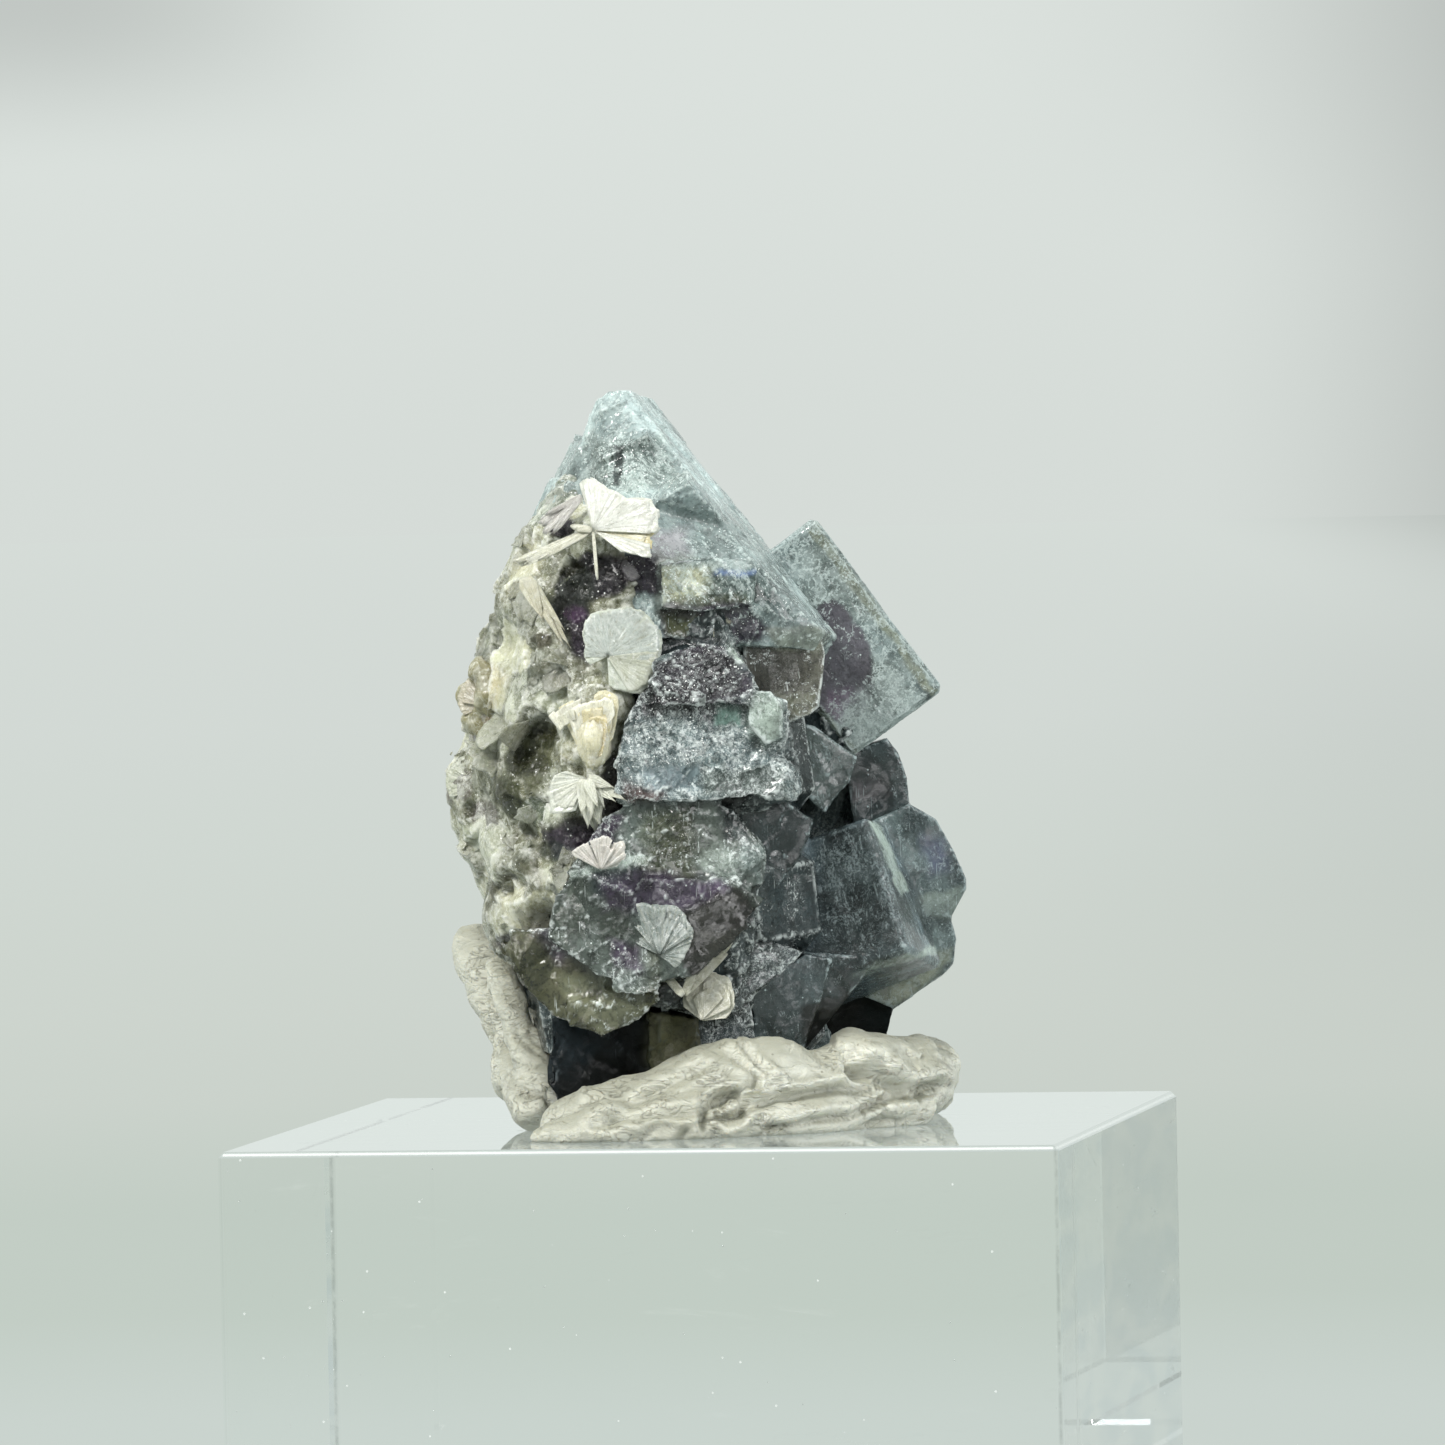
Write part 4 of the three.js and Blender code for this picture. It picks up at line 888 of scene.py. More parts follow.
class Shader:
    """Builds a node material: each method adds one node and gives its output."""

    def __init__(self, name):
        self.material = bpy.data.materials.new(name)
        self.material.use_nodes = True
        self.tree = self.material.node_tree
        self.bsdf = self.tree.nodes["Principled BSDF"]
        place = self.node("ShaderNodeTexCoord").outputs["Object"]
        inputs = {0: place, 1: (1 / MM, 1 / MM, 1 / MM)}
        self.place = self.node("ShaderNodeVectorMath", inputs, operation="MULTIPLY").outputs[0]

    def node(self, kind, inputs=None, **settings):
        made = self.tree.nodes.new(kind)
        for key, value in settings.items():
            setattr(made, key, value)
        for key, value in (inputs or {}).items():
            self.feed(made.inputs[key], value)
        return made

    def feed(self, socket, value):
        if isinstance(value, bpy.types.NodeSocket):
            self.tree.links.new(value, socket)
        elif socket.type == "RGBA" and len(value) == 3:
            socket.default_value = (*value, 1)
        else:
            socket.default_value = value

    def math(self, operation, a, b=0.0, clamp=True):
        return self.node("ShaderNodeMath", {0: a, 1: b}, operation=operation, use_clamp=clamp).outputs[0]

    def vector(self, operation, a, b):
        return self.node("ShaderNodeVectorMath", {0: a, 1: b}, operation=operation).outputs

    def ramp(self, value, low, high, to_low=0.0, to_high=1.0):
        inputs = {0: value, 1: low, 2: high, 3: to_low, 4: to_high}
        return self.node("ShaderNodeMapRange", inputs, interpolation_type="SMOOTHSTEP").outputs[0]

    def mix(self, share, a, b, blend="MIX"):
        made = self.node("ShaderNodeMix", data_type="RGBA", blend_type=blend)
        for number, value in ((0, share), (6, a), (7, b)):
            self.feed(made.inputs[number], value)
        return made.outputs[2]

    def stretch(self, vector, scale, angle=(0, 0, 0)):
        inputs = {"Vector": vector, "Scale": scale, "Rotation": tuple(math.radians(a) for a in angle)}
        return self.node("ShaderNodeMapping", inputs).outputs[0]

    def noise(self, vector, scale, detail=4.0, roughness=0.55, distortion=0.0):
        inputs = {"Vector": vector, "Scale": scale, "Detail": detail, "Roughness": roughness, "Distortion": distortion}
        return self.node("ShaderNodeTexNoise", inputs).outputs[0]

    def cells(self, vector, scale, feature="F1", distance="EUCLIDEAN"):
        return self.node("ShaderNodeTexVoronoi", {"Vector": vector, "Scale": scale}, feature=feature, distance=distance)

    def facets(self, vector, scale, distance="CHEBYCHEV"):
        """A height whose cells are each tilted their own way, like small crystal faces."""
        made = self.cells(vector, scale, distance=distance)
        tilt = self.vector("SUBTRACT", made.outputs["Color"], (0.5, 0.5, 0.5))[0]
        away = self.vector("SUBTRACT", vector, made.outputs["Position"])[0]
        return self.vector("DOT_PRODUCT", tilt, away)["Value"]

    def mask(self, name, output="Fac"):
        return self.node("ShaderNodeAttribute", attribute_name=name).outputs[output]

    def bump(self, height, strength, distance_mm, below=None):
        inputs = {"Height": height, "Strength": strength, "Distance": distance_mm * MM}
        if below:
            inputs["Normal"] = below
        return self.node("ShaderNodeBump", inputs).outputs[0]

    def finish(self, **values):
        for key, value in values.items():
            self.feed(self.bsdf.inputs[key.replace("_", " ")], value)
        return self.material


def fluorite_material(name, frost_colour, network, streaks, crisp, haze, facets, gloss, threads, coat=0.4):
    """Zoned fluorite: glassy facets under a soft haze and a crisp, broken frost of networks, streaks and specks."""
    s = Shader(name)
    grain_place = s.mask("grain", "Vector")
    edge = s.mask("edge")
    cavity_shade = s.mask("cavity_shade")
    fine = s.noise(grain_place, 4.5, 6, 0.72)
    broad = s.noise(grain_place, 0.7, 5, 0.62, 0.5)
    flecks = s.noise(grain_place, 2.6, 8, 0.82, 0.4)
    tint = s.mix(s.ramp(broad, 0.3, 0.7, 0.0, 0.6), s.mask("tint", "Color"), (0.5, 0.5, 0.5), "OVERLAY")
    tint = s.mix(s.ramp(flecks, 0.52, 0.4, 0.0, 0.15 + 0.45 * crisp), tint, (0.0, 0.0, 0.0))
    # painted shade: the tint goes towards near black in the hollows
    tint = s.mix(s.math("MULTIPLY", cavity_shade, 0.85), tint, (0.004, 0.005, 0.004))
    # crisp frost: its share of each spot is the mask, in a pattern that follows the crystal's own axes
    warped = s.vector("ADD", grain_place, s.node("ShaderNodeTexNoise", {"Vector": grain_place, "Scale": 2.2}).outputs[1])[0]
    walls = s.cells(warped, 1.9, "DISTANCE_TO_EDGE").outputs["Distance"]
    web = s.ramp(walls, 0.0, 0.3, 0.7, 0.32)
    run = s.noise(s.stretch(grain_place, (2.4, 2.4, 0.28), (8, 24, 0)), 1.5, 6, 0.75, 0.3)
    lines = s.math("ABSOLUTE", s.math("SUBTRACT", s.noise(grain_place, 1.5, 5, 0.6, 0.6), 0.5, clamp=False), clamp=False)
    plain = s.math("ADD", s.math("MULTIPLY", s.noise(grain_place, 4.0, 9, 0.85, 0.3), 0.7),
                   s.math("MULTIPLY", s.ramp(lines, 0.1, 0.0, 0.36, 0.64), 0.3))
    pattern = s.math("ADD", s.math("MULTIPLY", plain, 1 - network - streaks),
                     s.math("ADD", s.math("MULTIPLY", web, network), s.math("MULTIPLY", run, streaks)))
    pattern = s.ramp(pattern, 0.34, 0.66, 0.0, 1.0)
    share = s.math("ADD", s.mask("frost"), s.math("MULTIPLY", edge, 0.3))
    # the hollows also get less frost, so their painted shade stays dark
    share = s.math("SUBTRACT", share, s.math("MULTIPLY", cavity_shade, 0.5), clamp=False)
    share = s.math("ADD", share, s.ramp(broad, 0.35, 0.65, -0.16, 0.16), clamp=False)
    frosted = s.ramp(s.math("ADD", pattern, share, clamp=False), 0.92, 1.16, 0.0, crisp)
    crumbs = s.ramp(s.noise(grain_place, 8, 4, 0.7), 0.36, 0.6, 0.25, 1.0)
    frosted = s.math("MULTIPLY", frosted, crumbs)
    # soft haze, specks, scratches, worn edges, and painted glints
    mist = s.ramp(s.noise(grain_place, 0.8, 6, 0.6, 0.4), 0.34, 0.68)
    mist = s.math("MULTIPLY", mist, s.ramp(s.mask("frost"), 0.0, 0.6, 0.0, haze))
    mist = s.math("MULTIPLY", mist, s.ramp(s.mask("sparkle"), 0.45, 0.9, 1.0, 0.2))
    dots = s.cells(s.place, 1.9)
    dot = s.math("MULTIPLY", s.ramp(dots.outputs["Distance"], 0.13, 0.08), s.ramp(dots.outputs["Color"], 0.6, 0.65))
    scratches = s.ramp(s.noise(s.stretch(s.place, (7.0, 7.0, 0.35), (0, 32, 0)), 0.9, 2, 0.5, 0.2), 0.68, 0.72)
    scratches = s.math("MULTIPLY", scratches, s.ramp(broad, 0.35, 0.55, 0.0, 0.6))
    patchy_edges = s.math("MULTIPLY", edge, s.ramp(s.noise(s.place, 2.4, 4, 0.6), 0.42, 0.58, 0.05, 0.85))
    rims = s.cells(grain_place, 0.5, "DISTANCE_TO_EDGE").outputs["Distance"]
    rims = s.math("MULTIPLY", s.ramp(rims, 0.02, 0.004), s.ramp(flecks, 0.5, 0.66, 0.0, 0.5 * facets))
    # painted glints: small near-white specks where the sparkle mask is high
    glint_cells = s.cells(grain_place, 6.0)
    painted_glint = s.math("MULTIPLY", s.ramp(glint_cells.outputs["Distance"], 0.26, 0.16), s.ramp(glint_cells.outputs["Color"], 0.58, 0.62))
    painted_glint = s.math("MULTIPLY", painted_glint, s.ramp(s.mask("sparkle"), 0.25, 0.9))
    wisps = s.noise(grain_place, 2.1, 5, 0.7, 1.4)
    wisps = s.ramp(s.math("ABSOLUTE", s.math("SUBTRACT", wisps, 0.5, clamp=False), clamp=False), 0.028, 0.0)
    wisps = s.math("MULTIPLY", wisps, s.ramp(s.mask("frost"), 0.1, 0.4, 0.0, threads))
    wisps = s.math("MULTIPLY", wisps, s.ramp(flecks, 0.4, 0.56))
    for more in (mist, dot, scratches, patchy_edges, rims, painted_glint, wisps):
        frosted = s.math("MAXIMUM", frosted, more)
    frosted = s.math("MULTIPLY", frosted, s.ramp(s.mask("frost"), 0.0, 0.12))
    colour = s.mix(frosted, tint, frost_colour)
    # painted glints over the colour
    colour = s.mix(painted_glint, colour, (0.95, 0.97, 0.95))
    # relief: broad glassy facets, small glittering ones by the sparkle mask, and a fine tooth everywhere
    planes = s.math("ADD", s.facets(grain_place, 0.5, "EUCLIDEAN"), s.math("MULTIPLY", s.facets(grain_place, 1.2), 0.6),
                    clamp=False)
    relief = s.bump(planes, facets, 1.0)
    glitter = s.math("ADD", s.facets(grain_place, 2.4), s.math("MULTIPLY", s.facets(grain_place, 5.5), 0.8), clamp=False)
    glitter = s.math("MULTIPLY", glitter, s.ramp(s.mask("sparkle"), 0.0, 1.0, 0.1, 1.0), clamp=False)
    relief = s.bump(glitter, 0.9, 1.3, relief)
    relief = s.bump(s.math("ADD", fine, s.math("MULTIPLY", frosted, 0.5), clamp=False), 0.45, 0.07, relief)
    rough = s.ramp(frosted, 0.0, 0.8, gloss, 0.5)
    see_through = s.math("MULTIPLY", s.mask("clear"), s.ramp(frosted, 0.0, 0.5, 1.0, 0.0))
    return s.finish(
        Base_Color=colour, Roughness=rough, IOR=1.434, Normal=relief, Transmission_Weight=see_through,
        Coat_Weight=coat, Coat_Roughness=0.05,
    )


# Skins: crystals grown into one mass, the turn of its growth steps, and whether these are blocky

SKINS = {
    "summit": {"starts": ["summit"], "spin": -37, "stretch": (1, 1, 0.4), "blocky": True, "kind": "stepped"},
    "front": {
        "starts": ["frosted_block", "broken_crown", "pale_tongue", "pale_crystal", "olive_shield", "foot_crystal_1",
                   "foot_crystal_4", "core_5", "core_6", "core_7", "core_8"],
        "spin": -8, "stretch": (0.8, 1, 1), "blocky": False, "kind": "mottled",
    },
    "dark_cubes": {
        "starts": ["great_cube", "upper_right", "lower_right", "small_dark", "cube_behind", "slanted",
                   "foot_crystal_2", "foot_crystal_3"],
        "spin": -21, "stretch": (0.7, 0.7, 0.45), "blocky": False, "kind": "streaked",
    },
    "base": {
        "starts": ["foot_cube", "foot_crystal_5", "olive_lump"],
        "spin": -30, "stretch": (0.6, 0.6, 0.5), "blocky": False, "kind": "painted_shade",
    },
}


def make_skin(group, skin, solids, material):
    names = [name for name in solids if name.startswith(tuple(skin["starts"]))]
    random = np.random.RandomState(len(names))
    forms = [solids[name] for name in names] + face_chips(names, solids, random)
    vertices, triangles = fused(forms, 0.16)
    local = vertices @ turned(skin["spin"], 0, 0)
    local = local + 0.2 * np.stack([noise(vertices, 1.1, 90 + k) for k in range(3)], axis=1)
    stretched = local * skin["stretch"]
    large, shade = rock_cells(stretched, 2.4, 11, skin["blocky"])
    middle, small_shade = rock_cells(stretched, 1.0, 31, skin["blocky"])
    small, _ = rock_cells(stretched, 0.45, 51, skin["blocky"])
    looks = paint_skin(vertices, names, solids, 7)
    depth = looks.pop("relief") * (0.55 * large + 0.35 * middle + 0.16 * small - 0.25)
    vertices = vertices - vertex_normals(vertices, triangles) * depth[:, None]
    close, wide = bends(vertices, triangles)
    looks["tint"] = looks["tint"] * (1 + 0.24 * shade + 0.15 * small_shade)[:, None]
    looks["frost"] = np.clip(looks["frost"] + 0.1 * shade * smooth_step(looks["frost"], 0.04, 0.16), 0, 1)
    # painted shade: the hollows of the skin are found here and darkened in its material
    part = {
        "vertices": vertices,
        "triangles": triangles,
        "edge": smooth_step(close, 0.012, 0.05),
        "cavity_shade": smooth_step(-wide, 0.05, 0.4),
        "grain": local,
    }
    add_piece(f"fluorite_{group}", part | looks, material, "fluorite_cluster", smooth=True)


def make_fluorite():
    solids = {name: finish_solid(form) for name, (form, _) in CRYSTALS.items()}
    solids |= {f"core_{i}": finish_solid(form) for i, form in enumerate(CORE)}
    solids |= {f"back_{i}": finish_solid(form) for i, form in enumerate(BACK_CRYSTALS + small_cubes())}
    materials = {
        "mottled": fluorite_material("fluorite_mottled", (0.66, 0.71, 0.70), 0.0, 0.1, 0.85, 0.14, 1.0, 0.1, 1.0),
        "stepped": fluorite_material("fluorite_stepped", (0.60, 0.68, 0.66), 0.0, 0.5, 0.75, 0.6, 0.5, 0.14, 0.3),
        "webbed": fluorite_material("fluorite_webbed", (0.44, 0.51, 0.50), 0.3, 0.0, 0.8, 0.5, 0.1, 0.2, 0.4),
        "streaked": fluorite_material("fluorite_streaked", (0.40, 0.48, 0.49), 0.0, 0.5, 0.55, 0.2, 0.35, 0.1, 0.5),
    }
    # painted shade: a dull copy of the fluorite, without coat and with weak reflections, for the base crystals in shade
    materials["painted_shade"] = fluorite_material("fluorite_painted_shade", (0.10, 0.12, 0.13), 0.0, 0.5, 0.5, 0.1, 0.5, 0.3, 0.5, 0.0)
    materials["painted_shade"].node_tree.nodes["Principled BSDF"].inputs["Specular IOR Level"].default_value = 0.2
    for group, skin in SKINS.items():
        make_skin(group, skin, solids, materials[skin["kind"]])
    groups = {
        "right_block": ("webbed", ["right_block"]),
        "smoky_corner": ("mottled", ["smoky_corner"]),
        "core": ("mottled", ["core_0", "core_1", "core_2", "core_3", "core_4"]),
        "back": ("webbed", ["back"]),
    }
    for group, (kind, starts) in groups.items():
        parts = []
        for name, solid in solids.items():
            if not name.startswith(tuple(starts)):
                continue
            others = [other for other in solids.values() if other is not solid]
            relief = CRYSTALS[name][1] if name in CRYSTALS else PLAIN_RELIEF
            edge = FINE_EDGE * (1.8 if group in ("back", "core") else 1)
            seed = sum(map(ord, name)) % 89
            grown = grow(solid, others, relief, seed, edge)
            parts.append(paint(grown, name, solid["axes"], seed))
        add_piece(f"fluorite_{group}", join_parts(parts), materials[kind], "fluorite_cluster")
    return solids


# Mica

CRUST_LUMPS = [
    ((-7.0, -2.6, 37.0), (1.9, 2.4, 2.6)), ((-7.2, -6.4, 35.2), (2.4, 2.8, 2.4)),
    ((-8.6, -3.4, 34.2), (2.2, 3.0, 2.2)), ((-4.6, -9.8, 32.4), (2.0, 2.4, 2.2)),
    ((-7.8, -7.0, 32.0), (2.6, 3.0, 2.4)), ((-10.2, -3.8, 31.4), (2.4, 3.2, 2.4)),
    ((-10.8, -1.4, 28.8), (2.6, 3.2, 2.4)), ((-5.2, -10.4, 29.2), (2.4, 2.8, 2.6)),
    ((-8.4, -7.4, 28.6), (2.6, 3.4, 2.4)), ((-11.2, -3.4, 26.4), (2.6, 3.4, 2.4)),
    ((-6.2, -10.8, 25.8), (2.6, 3.0, 2.4)), ((-9.2, -7.4, 25.0), (2.6, 3.4, 2.4)),
    ((-12.2, -1.0, 24.0), (2.2, 3.2, 2.0)), ((-10.8, -5.0, 22.4), (2.6, 3.6, 2.4)),
    ((-12.8, -0.8, 20.8), (2.5, 3.4, 2.4)), ((-6.6, -11.0, 22.2), (2.6, 2.8, 2.2)),
    ((-9.2, -8.4, 20.2), (2.8, 3.2, 2.4)), ((-12.8, -2.0, 18.0), (2.4, 3.2, 2.2)),
    ((-11.0, -5.6, 17.6), (2.4, 3.2, 2.4)), ((-7.0, -11.4, 18.4), (2.4, 2.6, 2.2)),
    ((-11.4, -1.6, 14.8), (2.3, 3.4, 2.4)), ((-9.6, -8.4, 15.4), (2.6, 3.0, 2.4)),
    ((-7.0, -12.0, 14.8), (2.2, 2.6, 2.0)), ((-10.8, -5.6, 12.6), (2.2, 4.0, 2.4)),
    ((-5.4, -11.8, 20.6), (1.7, 2.0, 2.4)),
    ((-5.6, -12.0, 16.6), (1.8, 1.9, 1.8)), ((-6.4, -9.6, 30.8), (1.6, 2.0, 2.2)),
    ((-5.4, -9.2, 35.8), (1.6, 2.6, 1.5)), ((-4.6, -8.2, 36.3), (1.4, 2.8, 1.3)),
]
LUMP_POINTS = 42

# Patches of the crust, as (centre, reach, colour, strength)

CRUST_PATCHES = [
    ((-6.2, -11, 33.2), (3.0, 4, 1.5), (0.010, 0.006, 0.014), 1.0),
    ((-7.6, -10, 31.0), (1.3, 4, 2.4), (0.010, 0.012, 0.011), 1.0),
    ((-6.9, -11, 29.0), (0.9, 4, 1.6), BLACK_VIOLET, 0.9),
    ((-7.6, -12, 17.8), (2.4, 4, 1.3), BLACK_VIOLET, 1.0),
    ((-8.6, -11, 17.0), (1.8, 4, 0.8), BLACK_GREEN, 0.8),
    ((-9.6, -9, 23.4), (1.7, 5, 1.2), OLIVE, 0.9),
    ((-10.4, -8, 20.9), (1.5, 5, 1.6), OLIVE, 0.75),
    ((-11.6, -4.5, 14.9), (1.4, 5, 1.3), (0.05, 0.048, 0.018), 1.0),
    ((-13.2, -4, 26.5), (1.9, 6, 1.6), TAN, 0.8),
    ((-14.6, -3, 20.6), (1.2, 6, 1.2), PLUM, 0.5),
    ((-9.2, -9, 13.0), (2.4, 4, 0.8), VIOLET, 0.6),
    ((-6.6, -12, 14.0), (1.8, 4, 0.8), VIOLET, 0.7),
    ((-10.6, -8, 34.6), (1.6, 4, 1.4), CREAM, 0.6),
    ((-9.0, -9, 27.6), (3.0, 5, 1.8), GREY_MICA, 0.6),
    # painted highlight: a near-white spot on the crust
    ((-10.3, -9.5, 32.3), (0.8, 3, 0.9), (0.90, 0.90, 0.84), 1.0),
    ((-8.2, -3.4, 38.6), (2.4, 5, 2.6), (0.22, 0.28, 0.25), 0.9),
    ((-8.1, -9, 36.2), (0.9, 5, 0.7), BLACK_VIOLET, 1.0),
    ((-7.3, -10, 32.6), (1.3, 5, 1.7), (0.020, 0.024, 0.022), 1.0),
    ((-7.0, -11, 29.9), (0.9, 4, 1.6), BLACK_VIOLET, 1.0),
    ((-5.2, -12, 20.8), (1.3, 4, 2.2), (0.05, 0.045, 0.055), 0.95),
    ((-8.4, -10, 25.6), (1.8, 4, 1.0), PEARL_GREY, 0.7),
    ((-11.6, -7, 22.6), (1.5, 4, 1.2), PEARL_GREY, 0.6),
    ((-10.2, -9, 22.0), (1.2, 4, 0.8), (0.05, 0.055, 0.025), 0.8),
    ((-11.3, -9, 20.0), (0.8, 4, 1.1), (0.05, 0.055, 0.025), 0.7),
    ((-10.4, -7, 16.7), (1.0, 5, 1.3), (0.55, 0.61, 0.58), 0.9),
    ((-10.6, -7, 12.9), (1.7, 5, 1.0), (0.66, 0.67, 0.56), 0.9),
    ((-10.6, -7, 11.3), (2.4, 5, 0.8), (0.11, 0.105, 0.12), 0.95),
    ((-8.5, -11, 13.9), (1.6, 4, 1.4), (0.17, 0.21, 0.18), 0.85),
    ((-8.2, -11, 27.6), (2.2, 4, 0.9), (0.20, 0.20, 0.14), 0.8),
    ((-7.3, -11, 31.0), (0.7, 4, 0.6), (0.09, 0.04, 0.12), 0.8),
    ((-10.2, -9.5, 22.2), (1.5, 5, 0.7), (0.07, 0.075, 0.03), 0.9),
    ((-11.4, -8.5, 20.4), (0.9, 5, 1.4), (0.06, 0.07, 0.03), 0.85),
    ((-12.4, -6.5, 22.6), (1.1, 5, 1.3), (0.62, 0.66, 0.58), 0.8),
    ((-12.9, -5.5, 19.0), (1.2, 5, 0.9), (0.20, 0.18, 0.21), 0.9),
    ((-10.0, -9.5, 30.8), (1.3, 5, 1.1), (0.50, 0.53, 0.45), 0.8),
    ((-11.8, -6.5, 30.0), (1.3, 5, 1.6), (0.42, 0.48, 0.42), 0.7),
    ((-9.4, -11, 29.4), (0.9, 4, 0.5), (0.06, 0.05, 0.025), 0.9),
    ((-13.4, -5, 24.4), (1.1, 5, 1.3), (0.30, 0.20, 0.09), 0.85),
    ((-9.3, -9.5, 23.9), (1.3, 5, 0.9), (0.045, 0.05, 0.025), 0.95),
    ((-10.6, -8.5, 22.2), (1.2, 5, 1.1), (0.045, 0.05, 0.025), 0.95),
    ((-11.9, -7, 20.4), (0.8, 5, 0.9), (0.06, 0.065, 0.03), 0.85),
    ((-12.6, -6, 17.4), (1.6, 5, 1.4), (0.66, 0.70, 0.62), 0.7),
    ((-9.6, -9, 19.4), (1.2, 5, 1.0), (0.34, 0.42, 0.34), 0.7),
    ((-10.4, -8, 27.2), (1.6, 5, 1.6), (0.34, 0.38, 0.31), 0.7),
    ((-12.4, -6, 27.2), (1.2, 5, 0.8), (0.40, 0.32, 0.18), 0.7),
]


def lump(centre, reach, seed):
    random = np.random.RandomState(seed)
    numbers = np.arange(LUMP_POINTS)
    height = 1 - (2 * numbers + 1) / LUMP_POINTS
    bearing = 2.4 * numbers + seed
    ring = np.sqrt(1 - height**2)
    push = random.uniform(0.84, 1.1, LUMP_POINTS)[:, None]
    points = np.stack([np.cos(bearing) * ring, np.sin(bearing) * ring, height], axis=1) * push
    return finish_solid({"points": points * reach + centre})


def crust_tint(points, seed):
    """Cream, grey and olive in clouds, with darker olive patches and the named patches over them."""
    clouds = smooth_step(rough_noise(points, 2.2, seed, 4), -0.4, 0.45)[:, None]
    warm = smooth_step(rough_noise(points, 3.4, seed + 5), -0.1, 0.5)[:, None]
    dark = smooth_step(rough_noise(points, 1.6, seed + 11, 4), 0.2, 0.5)[:, None]
    tint = np.array(PALE_OLIVE) * (1 - clouds) + np.array(PEARL_GREY) * clouds
    tint = tint + 0.45 * warm * (np.array(CREAM) - tint)
    tint = tint + 0.75 * dark * (np.array(OLIVE) - tint)
    wander = 0.35 * rough_noise(points, 1.3, seed + 7)
    for centre, reach, colour, strength in CRUST_PATCHES:
        away = np.linalg.norm((points - centre) / reach, axis=1) + wander
        share = strength * (1 - smooth_step(away, 0.7, 1.1))[:, None]
        tint = tint + share * (np.array(colour) - tint)
    return tint


def plates(centres, normals, sizes, thickness, tints, random):
    """Thin six-sided plates, one for each centre."""
    count, sides = len(centres), 6
    helper = unit(random.normal(size=(count, 3)))
    across = unit(np.cross(normals, helper))
    along = np.cross(normals, across)
    angles = (np.arange(sides) + random.uniform(-0.25, 0.25, (count, sides))) * 2 * np.pi / sides
    reach = sizes[:, None] * random.uniform(0.7, 1.15, (count, sides))
    flat = (np.cos(angles) * reach)[..., None] * across[:, None] + (np.sin(angles) * reach)[..., None] * along[:, None]
    half = (normals * thickness[:, None] / 2)[:, None]
    rings = np.concatenate([centres[:, None] + flat - half, centres[:, None] + flat + half], axis=1)
    local = np.concatenate([np.stack([np.cos(angles) * reach, np.sin(angles) * reach], axis=2)] * 2, axis=1)
    pattern = []
    for k in range(1, sides - 1):
        pattern += [(0, k + 1, k), (sides, sides + k, sides + k + 1)]
    for k in range(sides):
        after = (k + 1) % sides
        pattern += [(k, after, sides + after), (k, sides + after, sides + k)]
    pattern = np.array(pattern)
    triangles = (pattern[None] + (np.arange(count) * 2 * sides)[:, None, None]).reshape(-1, 3)
    grain = np.concatenate([local, np.repeat(np.arange(count), 2 * sides).reshape(count, -1, 1) * 3.7], axis=2)
    return {
        "vertices": rings.reshape(-1, 3),
        "triangles": triangles,
        "tint": np.repeat(tints, 2 * sides, axis=0),
        "grain": grain.reshape(-1, 3),
        "clear": np.repeat(random.uniform(0.2, 0.7, count), 2 * sides),
    }


def surface_points(vertices, triangles, count, random):
    """Points scattered evenly over a mesh, with the surface's normals there."""
    a, b, c = (vertices[triangles[:, k]] for k in range(3))
    across = np.cross(b - a, c - a)
    area = np.linalg.norm(across, axis=1)
    chosen = random.choice(len(triangles), count, p=area / area.sum())
    u, v = random.uniform(0, 1, (2, count))
    flip = u + v > 1
    u[flip], v[flip] = 1 - u[flip], 1 - v[flip]
    points = a[chosen] + u[:, None] * (b - a)[chosen] + v[:, None] * (c - a)[chosen]
    return points, unit(across[chosen])


